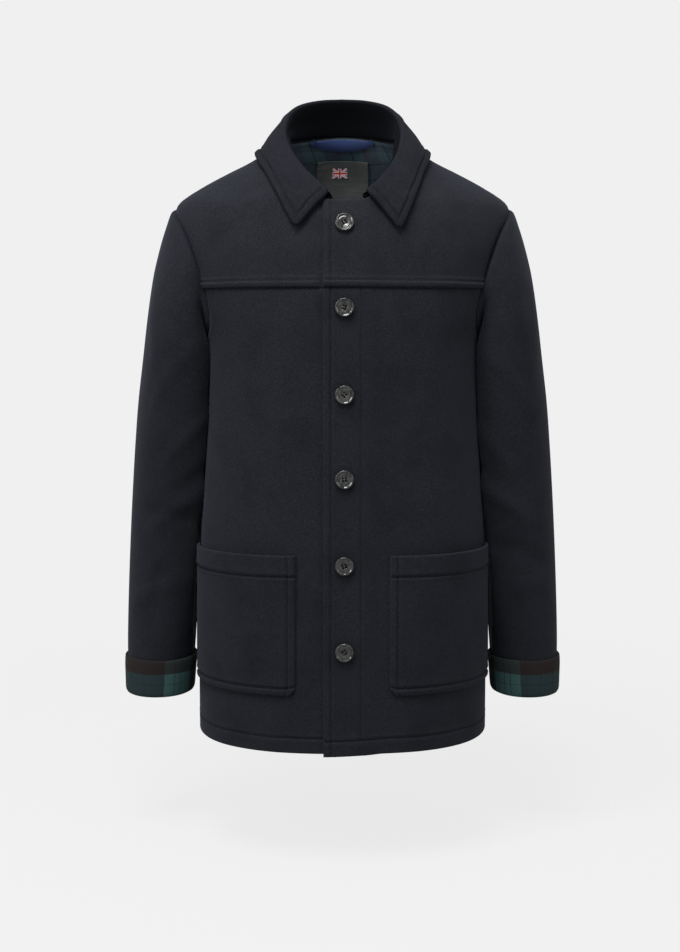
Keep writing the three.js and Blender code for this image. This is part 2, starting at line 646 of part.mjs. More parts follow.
function collarSection(side, t) {
  const place = neckPlace(side, t);
  const seam = onTrunk(side, place, -CLOTH / 2);
  const normal = normalOn(side, place);
  const along = onTrunk(side, neckPlace(side, Math.min(1, t + 0.01)))
    .sub(onTrunk(side, neckPlace(side, Math.max(0, t - 0.01))));
  const away = along.cross(normal).normalize();
  if (away.z < 0) away.negate();
  const middle = side * COLLAR_MIDDLE * smoothstep(t, 0.5, 1);
  const point = (kind) => new THREE.Vector3(
    side * (collarCurve[`${kind}X`](t) + middle),
    collarCurve[`${kind}Y`](t),
    collarCurve[`${kind}Z`](t),
  );
  const fold = point('fold');
  const edge = point('edge');
  const out = new THREE.Vector3(fold.x, fold.y - 5, 0).normalize();
  const start = seam.clone().addScaledVector(away, SEAM_GAP + 1.2);
  const low = start.clone().addScaledVector(away, 2.6);
  const rise = fold.distanceTo(low);
  const under = Math.min(4, 0.3 * rise);
  const controls = [
    start,
    low,
    low.clone().lerp(fold, 0.4),
    fold.clone().addScaledVector(out, -2.4).setZ(fold.z - under),
    fold,
    fold.clone().addScaledVector(out, 3.4).setZ(fold.z - 3.6),
    fold.clone().lerp(edge, 0.38).addScaledVector(out, 4),
    fold.clone().lerp(edge, 0.7).addScaledVector(out, 2.5),
    edge,
  ];
  const line = new THREE.CatmullRomCurve3(controls);
  const stops = [0, 0.1, 0.2, 0.33, 0.4, 0.46, 0.5, 0.55, 0.62, 0.7, 0.8, 0.9, 1];
  const fall = 0.6;
  return stops.map((s) => {
    const p = line.getPoint(s);
    return s > fall ? clearOfTrunk(p, COLLAR_CLOTH / 2 + 2.3, side) : p;
  });
}

function collar() {
  const half = [0, 0.0625, 0.125, 0.1875, 0.25, 0.3125, 0.375, 0.4375, 0.5, 0.583, 0.667, 0.75, 0.833, 0.9, 0.95, 1];
  const ends = [
    ...half.slice(1).reverse().map((t) => [RIGHT, t]),
    ...half.map((t) => [LEFT, t]),
  ];
  const grid = ends.map(([side, t]) => collarSection(side, t));
  const normals = gridNormals(grid, false);
  return wall(moved(grid, normals, COLLAR_CLOTH / 2), moved(grid, normals, -COLLAR_CLOTH / 2));
}

// Inside the back of the neck

const INSIDE = -CLOTH - SEAM_GAP;
const LINING_ROWS = 4;
const LINING_COLUMNS = 6;
const BOW = 1.2;               // what lies on the lining bridges its hollow by this much

// A patch on the back's inner face, from one angle past the centre back to the other
function insidePatch({ spread, top, bottom, columns, rows, out, thick, widen = () => 1 }) {
  const grid = (depth) => steps(rows).map((v) => steps(columns).map((u) => {
    const turn = (2 * u - 1) * spread;
    const side = turn < 0 ? RIGHT : LEFT;
    const z = lerp(bottom(turn), top(turn), v);
    const angle = Math.PI - Math.abs(turn) * widen(z);
    return onTrunk(side, { angle, z }, out(turn, v) - depth);
  }));
  return wall(grid(0), grid(thick));
}

function neckLining() {
  const layer = (out) => {
    const grid = backLayer(BACK_ROWS - LINING_ROWS, BACK_ROWS, LINING_COLUMNS, out);
    grid.at(-1).forEach((p) => { p.z -= 1; });
    return grid;
  };
  return wall(layer(INSIDE), layer(INSIDE - LINING));
}

function label() {
  return insidePatch({
    spread: 0.31,
    top: () => -26,
    bottom: () => -78,
    columns: 4,
    rows: 3,
    out: () => INSIDE - LINING - SEAM_GAP - BOW,
    thick: 0.8,
    widen: (z) => 112 / trunk.back(z),
  });
}

// A tape that hangs in a shallow arc from the two ends where it is caught in the neck seam
function hangerLoop() {
  const sag = (turn) => 7 * (1 - (turn / 0.56) ** 2);
  return insidePatch({
    spread: 0.56,
    top: (turn) => -1.5 - sag(turn),
    bottom: (turn) => -13 - sag(turn) + 4 * (turn / 0.56) ** 4,
    columns: 10,
    rows: 2,
    out: (turn) => INSIDE - LINING - SEAM_GAP - BOW - 0.6 - 1.8 * (1 - (turn / 0.56) ** 2),
    thick: 1.2,
  });
}

// The patch pockets lie on the fronts and stand open at the top

const POCKET_COLUMNS = [0, 0.03, 0.085, 0.2, 0.34, 0.48, 0.6, 0.7, 0.79, 0.87, 0.94, 1];
const POCKET_ROWS = [0, 0.03, 0.085, 0.28, 0.48, 0.66, 0.83, 1];

// Rounds the lower inner corner of a rectangle of the pocket's size
function roundedCorner(across, up, radius) {
  if (across >= radius || up >= radius) return [across, up];
  const a = 1 - across / radius;
  const b = 1 - up / radius;
  return [
    radius * (1 - a * Math.sqrt(1 - (b * b) / 2)),
    radius * (1 - b * Math.sqrt(1 - (a * a) / 2)),
  ];
}

function pocketPlace(u, v) {
  const tall = POCKET.top - POCKET.bottom;
  const [across, up] = roundedCorner(u * POCKET.width, v * tall, POCKET.corner);
  const z = POCKET.bottom + up;
  const inner = angleAtX(z, POCKET.inner);
  const outer = angleAtY(z, POCKET.outerY);
  return { angle: lerp(inner, outer, across / POCKET.width), z };
}

function pocketStand(u, v) {
  const across = Math.sin(Math.PI * u ** 0.85) ** 0.7;
  const curved = 0.5 * Math.sin(Math.PI * u);
  return SEAM_GAP + curved + POCKET.bulge * across * (0.12 * Math.sin(Math.PI * v) + 0.88 * v ** 1.7);
}

function pocket(side) {
  const grid = (out) => POCKET_ROWS.map((v) => POCKET_COLUMNS.map((u) => (
    onTrunk(side, pocketPlace(u, v), pocketStand(u, v) + out))));
  return wall(grid(CLOTH), grid(0));
}

// A four-hole button: a dished face inside a raised rim

function button() {
  const { radius, thick } = BUTTON;
  const profile = [
    [0, 0], [radius - 2.6, 0], [radius - 0.3, 1.5], [radius, 2.6], [radius - 1, thick],
    [radius - 3, thick - 0.7], [radius - 4.6, thick - 1.5], [0, thick - 1.7],
  ].map(([r, z]) => new THREE.Vector2(r, z));
  const disc = new THREE.LatheGeometry(profile, 16);
  disc.rotateX(QUARTER);
  let body = manifoldOf(disc);
  const hole = 1.1;
  const fromCentre = 2.5;
  for (const [x, y] of [[-1, -1], [1, -1], [1, 1], [-1, 1]]) {
    const drill = new THREE.CylinderGeometry(hole, hole, 2 * thick, 6);
    drill.rotateX(QUARTER);
    drill.translate((x * fromCentre) / Math.SQRT2, (y * fromCentre) / Math.SQRT2, thick / 2);
    body = body.subtract(manifoldOf(drill));
  }
  return geometryOf(body);
}

function manifoldOf(geometry) {
  const plain = geometry.clone();
  plain.deleteAttribute('normal');
  plain.deleteAttribute('uv');
  const merged = mergeVertices(plain, 1e-4);
  const index = Array.from(merged.index.array);
  const triangles = [];
  for (let i = 0; i < index.length; i += 3) {
    const [a, b, c] = index.slice(i, i + 3);
    if (a !== b && b !== c && c !== a) triangles.push(a, b, c);
  }
  const mesh = new wasm.Mesh({
    numProp: 3,
    vertProperties: new Float32Array(merged.attributes.position.array),
    triVerts: new Uint32Array(triangles),
  });
  return new wasm.Manifold(mesh);
}

function geometryOf(body) {
  const mesh = body.getMesh();
  const geometry = new THREE.BufferGeometry();
  geometry.setAttribute('position', new THREE.BufferAttribute(mesh.vertProperties, 3));
  geometry.setIndex(new THREE.BufferAttribute(mesh.triVerts, 1));
  geometry.computeVertexNormals();
  return geometry;
}

// The whole jacket

const MATERIALS = {
  melton: { color: 0x24262b, roughness: 0.95, metalness: 0 },
  tartan: { color: 0x26393b, roughness: 0.95, metalness: 0 },
  lining: { color: 0x1b2328, roughness: 0.9, metalness: 0 },
  tape: { color: 0x232c44, roughness: 0.8, metalness: 0 },
  label: { color: 0x1f2326, roughness: 0.8, metalness: 0 },
  button: { color: 0x2c2f2e, roughness: 0.35, metalness: 0 },
};

const jacket = new THREE.Group();

function add(name, geometry, material) {
  const mesh = new THREE.Mesh(geometry, new THREE.MeshStandardMaterial(MATERIALS[material]));
  mesh.name = name;
  jacket.add(mesh);
  return mesh;
}

for (const [side, name] of [[RIGHT, 'right'], [LEFT, 'left']]) {
  add(`front_${name}`, frontPanel(side), 'melton');
  add(`front_yoke_${name}`, frontYoke(side), 'melton');
  add(`sleeve_${name}`, sleeve(side), 'melton');
  add(`cuff_${name}`, cuff(side), 'tartan');
  add(`pocket_${name}`, pocket(side), 'melton');
}
add('back', backPanel(), 'melton');
add('collar', collar(), 'melton');
add('neck_lining', neckLining(), 'lining');
add('hanger_loop', hangerLoop(), 'tape');
add('label', label(), 'label');

for (const [i, z] of BUTTON_HEIGHTS.entries()) {
  const place = { angle: angleAtX(z, BUTTON.x), z };
  const mesh = add(`button_${i + 1}`, button(), 'button');
  mesh.position.copy(onTrunk(LEFT, place, SEAM_GAP + 0.2));
  mesh.quaternion.setFromUnitVectors(new THREE.Vector3(0, 0, 1), normalOn(LEFT, place));
}

export default jacket;
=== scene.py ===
"""A hip-length wool jacket, filled out as worn, with nobody in it.

The tables and lengths are in millimetres, as in the part's source. +Z is up, the front faces -Y,
the wearer's left is +X, and the origin is the middle of the neck, level with the shoulders.
"""

import math
import random

import bmesh
import bpy
import numpy as np
from mathutils import Matrix, Vector


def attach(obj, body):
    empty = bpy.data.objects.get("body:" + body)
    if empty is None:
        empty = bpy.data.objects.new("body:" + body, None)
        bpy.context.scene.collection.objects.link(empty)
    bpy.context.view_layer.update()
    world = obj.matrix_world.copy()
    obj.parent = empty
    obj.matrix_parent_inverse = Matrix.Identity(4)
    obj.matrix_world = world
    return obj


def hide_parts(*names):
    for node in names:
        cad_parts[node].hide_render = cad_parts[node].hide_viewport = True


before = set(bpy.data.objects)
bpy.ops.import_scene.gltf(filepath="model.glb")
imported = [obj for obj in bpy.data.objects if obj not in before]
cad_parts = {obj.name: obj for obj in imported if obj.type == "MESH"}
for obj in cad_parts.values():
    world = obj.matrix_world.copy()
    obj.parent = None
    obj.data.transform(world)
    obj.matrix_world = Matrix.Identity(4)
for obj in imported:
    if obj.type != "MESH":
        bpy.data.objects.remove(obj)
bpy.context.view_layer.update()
scene = bpy.context.scene

MM = 0.001
RIGHT, LEFT = -1, 1
SIDES = ((RIGHT, "right"), (LEFT, "left"))
HALF_TURN = math.pi
QUARTER = math.pi / 2

# The sizes that the solids were made from
CLOTH = 3
SEAM_GAP = 0.3
HEM = -754
PLACKET_DROP = 3
YOKE_SEAM = -190
NECK_FRONT = -85
SHOULDER_TIP = -86
UNDERARM = -262
BACK_NECK_RISE = 13
OVERLAP_EDGE = 23.4
UNDERLAP_EDGE = 21
LAP_LIFT = 3.5
COLLAR_MIDDLE = 6
LINING = 1.2
CUFF_TOP = -664
CUFF_BOTTOM = -712.5
SLEEVE_END = -708
POCKET_INNER, POCKET_OUTER_Y, POCKET_WIDTH = 57, -38, 178
POCKET_TOP, POCKET_BOTTOM, POCKET_CORNER, POCKET_BULGE = -510, -683, 15, 9
BUTTON_X, BUTTON_HEIGHTS = 2, (-115, -214, -317, -418, -522, -627)

# Where the stitching runs, from the edge that it follows
HEM_STITCH = 19
EDGE_STITCH = 9.5
FACING_STITCH = 21.9           # from the middle of the jacket
YOKE_STITCH = 8.5
SHOULDER_STITCH = 7
POCKET_STITCH = 9.5
POCKET_HEM = 26
COLLAR_STITCH = 9.5
SIDE_SEAM = (1.7, 4.5)         # depth and width of the dent along sides and armholes
SHOULDER_FADE = (-135, -98)    # it fades between these heights towards the shoulder's tip
SEWN_EDGE = (1.9, 1.3)         # width and depth of a groove along an edge
SEWN_HEM = (1.8, 1.0)
SEWN_POCKET = (1.9, 1.35)
EDGE_ROUND = 1.5
WELT_RISE = 2.7
COLLAR_HALF = 2.6              # half the collar's thickness
COLLAR_CLEAR = 6               # and its fall's distance from the body
COLLAR_CORNER = 9
PLACKET_CORNER = 7
POINT_DROP = 4                 # the rounded points of the collar reach as low as sharp ones
LEFT_POINT_DROP = 2.5          # and the left one a little lower
SLEEVE_MM_A_DEGREE = 1.5
BUTTON_TURNS = (0.5, 1.3, 0.9, 0.15, 0.4, 2.2)
LOOP_REACH, LOOP_SAG = 0.62, 6  # half its angle round the neck, and how far it hangs
LABEL_TOP, LABEL_BOTTOM, LABEL_THICK = -26, -78, 0.8
LABEL_REACH, LABEL_DEEP = 0.31, 112     # half its angle where the back is so deep
FLAG_TOP, FLAG_WIDE, FLAG_TALL = -34, 18.5, 11.5
FLAG_DEEP, FLAG_OFF = 83, 0.04          # from the neck's middle, and its angle off the centre
CUFF_OUTSIDE, CUFF_INSIDE = 3.2, -6     # from the sleeve's outer face
CUFF_FACE_ROW = 7                       # the row of its section that faces outwards
STRANDS = (-0.45, 0, 0.45)
FLOOR_HALF = 60                         # in metres

# The studio, in metres, degrees and watts
CAMERA_AT, CAMERA_TILT = (-0.00325, -1.8, -0.239), 6.03
FOCAL_PX, PICTURE_PX = 1392, 952
BACKGROUND = 0.871
FLOOR_TONE = 0.38
FLOOR_GLOW = 0.90                # the share of the floor that shines by itself
FLOOR_Z = -900
LIGHTS = (
    # name, place, aimed at, size, power
    ("top_front", (-0.45, -1.15, 2.1), (0, 0, -0.2), (1.3, 1.1), 150),
    ("left_strip", (-2.0, -1.5, 0.9), (0, 0, -0.3), (0.5, 1.5), 46),
    ("right_soft", (2.1, -1.2, 0.7), (0, 0, -0.3), (1.0, 1.4), 22),
)


def table(names, *rows):
    """Rows of numbers as named columns."""
    return {name: np.array(column, float) for name, column in zip(names.split(), zip(*rows))}


TRUNK = table(
    "z half front back square middle",
    (-760, 187, 151, 148, 2.5, 0),
    (-640, 186.5, 150, 146, 2.5, 0),
    (-500, 183, 147, 141, 2.5, 0),
    (-420, 178, 144.5, 137, 2.5, 0),
    (-340, 174.5, 142, 135, 2.5, 0),
    (-262, 176, 141, 137, 2.45, 0),
    (-228, 184, 140, 138, 2.4, 0),
    (-204, 194, 138.5, 137, 2.3, 0),
    (-173, 205, 136, 134, 2.25, 1),
    (-142, 211, 132, 130, 2.2, 2),
    (-112, 213, 125, 122, 2.15, 4),
    (-96, 213, 118.5, 117, 2.1, 5),
    (-84, 210, 112, 113.5, 2.05, 5),
    (-75, 201, 104, 110, 2, 5),
    (-60, 177, 89, 104, 2, 5),
    (-45, 149, 72.5, 97, 2, 5),
    (-30, 119, 56, 88, 2, 5),
    (-12, 91, 31, 77, 2, 5),
    (0, 72, 10, 73, 2, 5),
)
ARMHOLE_FRONT = table(
    "z y",
    (UNDERARM, 0), (-260, -25), (-253, -50), (-241, -67), (-226, -76), (-204, -80),
    (-180, -78), (-152, -70), (-122, -52), (-98, -24), (SHOULDER_TIP, 5),
)
ARMHOLE_BACK = table(
    "z y",
    (UNDERARM, 0), (-260, 25), (-252, 50), (-238, 68), (-219, 80), (-195, 86),
    (-168, 86), (-138, 77), (-112, 58), (-94, 32), (SHOULDER_TIP, 5),
)
NECKLINE = table(
    "z x",
    (NECK_FRONT, 20.5), (-76, 35), (-60, 50), (-40, 62), (-18, 69), (-6, 71.5), (0, 72),
)
SLEEVE = table(
    "outer_x outer_z inner_x inner_z front back bow lap",
    (217.5, -92, 179, -259, -82.5, 89, 19, 0),
    (224, -109, 178, -263, -84, 94, 13, 6),
    (232, -134, 176, -270, -85, 98, 9, 11),
    (241, -170, 173, -284, -85, 100, 5, 16),
    (249.5, -222, 170, -307, -82, 100, 2, 17),
    (256.5, -276, 169, -337, -77, 96, 0, 17),
    (263.5, -330, 170, -374, -71, 90, 0, 17),
    (268.5, -384, 172, -416, -65, 84, 0, 16),
    (272.5, -438, 175, -460, -60, 78, 0, 15),
    (276, -492, 178, -506, -55, 72, 0, 13),
    (279, -546, 182, -554, -50, 67, 0, 10),
    (281.5, -600, 186, -604, -46, 63, 0, 5),
    (283, -652, 194, -654, -43, 60, 0, 0),
    (282.5, SLEEVE_END, 200, SLEEVE_END, -41, 58, 0, 0),
)
SLEEVE_CLEAR = table(
    "z gap", (-720, 12), (-600, 8), (-520, 7), (-470, 2.4), (-330, 1.8), (-250, 1.8)
)
COLLAR = table(
    "at foldX foldY foldZ edgeX edgeY edgeZ",
    (0, 0, 74, 60, 0, 97, 3),
    (0.15, 29, 70, 58, 38, 92, 2),
    (0.3, 54, 55, 50, 72, 74, -4),
    (0.42, 68, 33, 37, 95, 42, -13),
    (0.52, 74, 8, 21, 107, 8, -21),
    (0.62, 75, -18, 4, 106, -28, -34),
    (0.72, 69, -46, -18, 97, -60, -50),
    (0.82, 56.5, -72, -40, 86, -92, -74),
    (0.92, 40, -94, -60, 73, -113, -99),
    (1, 24, -108, -74, 61, -122, -118),
)


# Numbers and curves


def through(at, values, where):
    """A smooth curve or surface through the values that lie at `at`, read at `where`."""
    last = len(at) - 1
    here = np.arange(last + 1)
    before, after = np.maximum(here - 1, 0), np.minimum(here + 1, last)

    def spread(x):
        return np.reshape(x, np.shape(x) + (1,) * (values.ndim - 1))

    slope = (values[after] - values[before]) / spread(at[after] - at[before])
    i = np.clip(np.searchsorted(at, where, side="left") - 1, 0, last - 1)
    step = at[i + 1] - at[i]
    t = spread(np.clip((where - at[i]) / step, 0, 1))
    line = values[i] + (values[i + 1] - values[i]) * t * t * (3 - 2 * t)
    return line + spread(step) * t * (1 - t) * ((1 - t) * slope[i] - t * slope[i + 1])


def curve(rows, along, column):
    """A smooth curve through one column of a table, read along another column that rises."""
    return lambda where: through(rows[along], rows[column], np.asarray(where, float))


def ease(x, low, high):
    """0 below low, 1 above high and smooth between them."""
    t = np.clip((np.asarray(x, float) - low) / (high - low), 0, 1)
    return t * t * (3 - 2 * t)


def lerp(a, b, t):
    return a + (b - a) * t


def unit(vectors):
    return vectors / np.maximum(np.linalg.norm(vectors, axis=-1, keepdims=True), 1e-9)


def spline(points):
    """The even curve through a list of places (angle, z), from 0 to 1."""
    points = np.array(points, float)
    last = len(points) - 1

    def read(t):
        p = np.clip(np.asarray(t, float), 0, 1) * last
        i = np.minimum(np.floor(p).astype(int), last)
        w = (p - i)[..., None]
        p0 = points[np.where(i == 0, i, i - 1)]
        p1 = points[i]
        p2 = points[np.minimum(i + 1, last)]
        p3 = points[np.minimum(i + 2, last)]
        v0, v1 = (p2 - p0) / 2, (p3 - p1) / 2
        bend = (2 * (p1 - p2) + v0 + v1) * w**3 + (-3 * p1 + 3 * p2 - 2 * v0 - v1) * w**2
        place = bend + v0 * w + p1
        return place[..., 0], place[..., 1]

    return read


# The trunk's surface. A place on it is an angle around the trunk (0 at the centre front, half a
# turn at the centre back, always counted towards `side`) and a height.

trunk = {name: curve(TRUNK, "z", name) for name in ("half", "front", "back", "square", "middle")}


def section_radius(angle, z):
    deep = np.where(np.cos(angle) > 0, trunk["front"](z), trunk["back"](z))
    n = trunk["square"](z)
    across = np.abs(np.sin(angle)) / trunk["half"](z)
    along = np.abs(np.cos(angle)) / deep
    return (across**n + along**n) ** (-1 / n)


def back_rise(angle, z):
    behind = np.maximum(0, -np.cos(angle))
    return BACK_NECK_RISE * behind**2 * ease(z, -150, 0)


def bare(angle, z):
    r = section_radius(angle, z)
    y = trunk["middle"](z) - r * np.cos(angle)
    return np.stack([r * np.sin(angle), y, z + back_rise(angle, z)], axis=-1)


def bare_normal(angle, z):
    turn, rise = 0.004, 0.4
    around = bare(angle + turn, z) - bare(angle - turn, z)
    up = bare(angle, z + rise) - bare(angle, z - rise)
    return unit(np.cross(around, up))


def lap_lift(side, x):
    return LAP_LIFT * (1 - ease(x, 28, 50)) if side == LEFT else 0 * np.asarray(x, float)


def angle_at_x(z, x):
    n = trunk["square"](z)
    rest = np.maximum(0, 1 - np.minimum(1, np.abs(x) / trunk["half"](z)) ** n)
    return np.arctan2(x, trunk["front"](z) * rest ** (1 / n))


def angle_at_y(z, y):
    away = y - trunk["middle"](z)
    deep = np.where(away < 0, trunk["front"](z), trunk["back"](z))
    n = trunk["square"](z)
    x = trunk["half"](z) * (1 - (np.abs(away) / deep) ** n) ** (1 / n)
    return np.arctan2(x, -away)


def half_gap(z):
    return SEAM_GAP / 2 / trunk["half"](z)


# Soft folds, each a ridge (or a valley, below 0) along a line between two places. On the trunk a
# place is the distance across from the middle, seen from the front or the back, and a height; on
# a sleeve it is a turn in degrees from the outside edge over the front, and a height.

FRONT_FOLDS = (
    # x from, z from, x to, z to, width, height
    (-62, -215, -48, -500, 20, 1.5),
    (-100, -250, -92, -480, 26, -1.4),
    (-40, -560, -34, -745, 11, 1.1),
    (-128, -290, -60, -400, 15, 0.9),
    (-150, -705, -110, -752, 13, -1.2),
    (-84, -700, -80, -756, 12, 1.4),
    (58, -210, 66, -470, 22, 1.4),
    (104, -240, 98, -470, 24, -1.4),
    (44, -575, 47, -748, 10, -1.1),
    (130, -300, 72, -390, 14, 0.8),
    (92, -698, 98, -756, 13, 1.3),
    (146, -704, 152, -752, 12, -1.1),
    (-110, -120, -140, -180, 14, 0.8),
    (112, -118, 146, -176, 13, 0.8),
)
BACK_FOLDS = (
    (-96, -170, -70, -420, 22, 2.2),
    (-58, -230, -50, -640, 20, -1.8),
    (-24, -330, -30, -752, 17, 1.7),
    (18, -260, 26, -700, 19, -1.7),
    (60, -200, 48, -560, 21, 2),
    (100, -180, 80, -410, 20, -1.8),
    (-118, -500, -126, -754, 18, 1.9),
    (-86, -620, -90, -756, 13, -1.5),
    (86, -560, 92, -755, 15, 1.8),
    (128, -520, 134, -752, 17, -1.6),
    (-140, -300, -70, -372, 13, 1.2),
    (136, -290, 66, -380, 14, 1.3),
    (-30, -60, -80, -110, 12, 0.9),
    (34, -58, 84, -104, 13, 0.8),
)
SLEEVE_FOLDS = {
    # turn from, z from, turn to, z to, width in mm, height
    RIGHT: (
        (35, -170, 75, -300, 15, 1.6),
        (120, -250, 60, -350, 12, 1.8),
        (150, -330, 80, -420, 11, 1.9),
        (165, -400, 95, -450, 9, -1.7),
        (170, -430, 60, -505, 11, 2.2),
        (150, -500, 40, -470, 10, -1.6),
        (140, -560, 30, -600, 13, 1.8),
        (95, -520, 80, -650, 14, -1.4),
        (200, -300, 255, -350, 14, 1.8),
        (195, -380, 250, -470, 12, -1.8),
        (230, -470, 300, -520, 14, 2),
        (215, -560, 290, -590, 13, -1.6),
        (310, -180, 290, -320, 17, 1.5),
        (240, -610, 320, -640, 10, 1.4),
    ),
    LEFT: (
        (30, -180, 70, -310, 16, 1.6),
        (125, -260, 70, -340, 12, 1.7),
        (155, -345, 85, -430, 12, 1.9),
        (165, -425, 70, -490, 10, 2.1),
        (168, -395, 100, -440, 9, -1.6),
        (145, -515, 50, -540, 11, -1.7),
        (130, -590, 40, -560, 13, 1.6),
        (85, -560, 100, -655, 13, 1.3),
        (205, -310, 260, -370, 15, -1.7),
        (200, -400, 262, -440, 12, 2),
        (235, -490, 305, -530, 13, -1.9),
        (220, -580, 280, -560, 13, 1.7),
        (305, -190, 285, -330, 16, -1.5),
        (250, -600, 330, -655, 11, 1.3),
    ),
}
POCKET_FOLDS = {
    # across from, z from, across to, z to, width, height
    RIGHT: (
        (50, -520, 70, -660, 26, 1.2),
        (120, -530, 105, -650, 30, -1.0),
        (150, -560, 130, -670, 20, 1.1),
    ),
    LEFT: (
        (60, -525, 50, -655, 28, 1.1),
        (110, -520, 125, -660, 28, -1.1),
        (155, -550, 150, -672, 18, 1.2),
    ),
}


def folds(rows, across, z, scale=1.0):
    """The height of a table's folds at a place; scale turns a step across into mm."""
    height = np.zeros(np.shape(z))
    for x0, z0, x1, z1, width, tall in rows:
        run = np.array([(x1 - x0) * np.mean(scale), z1 - z0])
        length = np.hypot(*run)
        dx, dz = (across - x0) * scale, z - z0
        along = (dx * run[0] + dz * run[1]) / length
        off = (dx * run[1] - dz * run[0]) / length
        bow = 0.07 * length * (1 - (2 * np.clip(along / length, 0, 1) - 1) ** 2)
        ends = ease(along, -0.1 * length, 0.35 * length)
        ends = ends * (1 - ease(along, 0.65 * length, 1.1 * length))
        height = height + tall * ends * np.exp(-(((off - bow) / width) ** 2))
    return height


def drape(side, angle, z):
    """How far the trunk's soft folds stand out, fading where the sleeves and collar lie on it."""
    point = bare(angle, z)
    x = point[..., 0]
    front = np.cos(angle) > 0
    tall = np.where(front, folds(FRONT_FOLDS, side * x, z), folds(BACK_FOLDS, side * x, z))
    under_sleeve = 1 - ease(np.abs(point[..., 1]), 60, 100)
    high = ease(z, -720, -660)
    middle = 1 - ease(x, 12, 2) * front
    return tall * (1 - under_sleeve * high) * (1 - ease(z, -75, -30)) * middle


def on_trunk(side, place, out=0.0, draped=True):
    """Points `out` from the cloth's outer face."""
    angle, z = place
    point = bare(angle, z)
    lift = np.where(np.cos(angle) > 0, lap_lift(side, point[..., 0]), 0)
    soft = drape(side, angle, z) if draped else 0
    point = point + bare_normal(angle, z) * (out + lift + soft)[..., None]
    point[..., 0] *= side
    return point


def normal_on(side, place):
    normal = bare_normal(*place)
    normal[..., 0] *= side
    return normal


def trunk_height(point, side):
    away = point[..., 1] - trunk["middle"](point[..., 2])
    angle = np.arctan2(np.abs(point[..., 0]), -away)
    z = np.clip(point[..., 2] - back_rise(angle, point[..., 2]), HEM, 0)
    lift = np.where(np.cos(angle) > 0, lap_lift(side, np.abs(point[..., 0])), 0)
    return np.hypot(point[..., 0], away) - section_radius(angle, z) - lift


def clear_of_trunk(point, gap, side):
    """Moves points straight out until they are `gap` clear of the trunk's outer face."""
    step = 0.5
    for _ in range(8):
        here = trunk_height(point, side)
        ahead = [trunk_height(point + step * axis, side) for axis in np.eye(3)]
        slope = (np.stack(ahead, axis=-1) - here[..., None]) / step
        steep = np.linalg.norm(slope, axis=-1)
        push = np.maximum(0, gap - here / steep)
        point = point + (push / steep)[..., None] * slope
    return point


# Cut pieces: each fills the space between four edges, given as places on the trunk

TURNS = 48
WIDEST_TURN = 1.2 * QUARTER


def section_lengths(z, behind):
    angle = np.linspace(0, WIDEST_TURN, TURNS + 1)
    angle = HALF_TURN - angle if behind else angle
    r = section_radius(angle[None, :], z[:, None])
    x, y = r * np.sin(angle), r * np.cos(angle)
    runs = np.hypot(np.diff(x, axis=1), np.diff(y, axis=1))
    return np.concatenate([np.zeros((len(z), 1)), np.cumsum(runs, axis=1)], axis=1)


def to_reach(place, behind):
    angle, z = (np.ravel(v) for v in np.broadcast_arrays(*place))
    lengths = section_lengths(z, behind)
    turn = HALF_TURN - angle if behind else angle
    at = np.abs(turn) / WIDEST_TURN * TURNS
    i = np.minimum(np.floor(at).astype(int), TURNS - 1)
    row = np.arange(len(z))
    return np.sign(turn) * lerp(lengths[row, i], lengths[row, i + 1], at - i), z


def to_angle(reach, z, behind):
    shape = np.shape(z)
    reach, z = np.ravel(reach), np.ravel(z)
    lengths = section_lengths(z, behind)
    row = np.arange(len(z))
    i = np.clip((lengths < np.abs(reach)[:, None]).sum(axis=1) - 1, 0, TURNS - 1)
    at = i + (np.abs(reach) - lengths[row, i]) / (lengths[row, i + 1] - lengths[row, i])
    turn = np.sign(reach) * at * WIDEST_TURN / TURNS
    return np.reshape(HALF_TURN - turn if behind else turn, shape), np.reshape(z, shape)


def fill(left, right, bottom, top, u, v, behind):
    """The places of a cut piece: u runs away from the centre, v upwards."""
    ends = np.array([0.0, 1.0])
    low, high = to_reach(bottom(u), behind), to_reach(top(u), behind)
    near, far = to_reach(left(v), behind), to_reach(right(v), behind)
    low_ends, high_ends = to_reach(bottom(ends), behind), to_reach(top(ends), behind)
    uu, vv = u[None, :], v[:, None]
    flat = []
    for k in (0, 1):
        level = lerp(low[k][None, :], high[k][None, :], vv)
        upright = lerp(near[k][:, None], far[k][:, None], uu)
        below = lerp(low_ends[k][0], low_ends[k][1], uu)
        above = lerp(high_ends[k][0], high_ends[k][1], uu)
        flat.append(level + upright - lerp(below, above, vv))
    return to_angle(flat[0], flat[1], behind)


def joined(share, first, second):
    """A curve in two stretches that meet at `share`."""

    def read(t):
        t = np.asarray(t, float)
        a = first(np.minimum(t / share, 1))
        b = second(np.maximum((t - share) / (1 - share), 0))
        return tuple(np.where(t < share, p, q) for p, q in zip(a, b))

    return read


def armhole_of(rows):
    return spline(list(zip(angle_at_y(rows["z"], rows["y"]), rows["z"])))


armhole_front = armhole_of(ARMHOLE_FRONT)
armhole_back = armhole_of(ARMHOLE_BACK)


def neckline(side):
    x = NECKLINE["x"] + side * COLLAR_MIDDLE * (NECKLINE["z"] / NECK_FRONT) ** 2
    return spline(list(zip(angle_at_x(NECKLINE["z"], x), NECKLINE["z"])))


neck_front = {side: neckline(side) for side, _ in SIDES}


def neck_back(t):
    return lerp(HALF_TURN, QUARTER, np.asarray(t, float)), 0 * np.asarray(t, float)


EDGE_X = {LEFT: -OVERLAP_EDGE, RIGHT: -UNDERLAP_EDGE}


def yoke_crossing():
    """Where the armhole crosses the yoke seam, as a share of the armhole's front edge."""
    low, high = 0.3, 0.9
    for _ in range(30):
        middle = (low + high) / 2
        if armhole_front(middle)[1] < YOKE_SEAM:
            low = middle
        else:
            high = middle
    return low


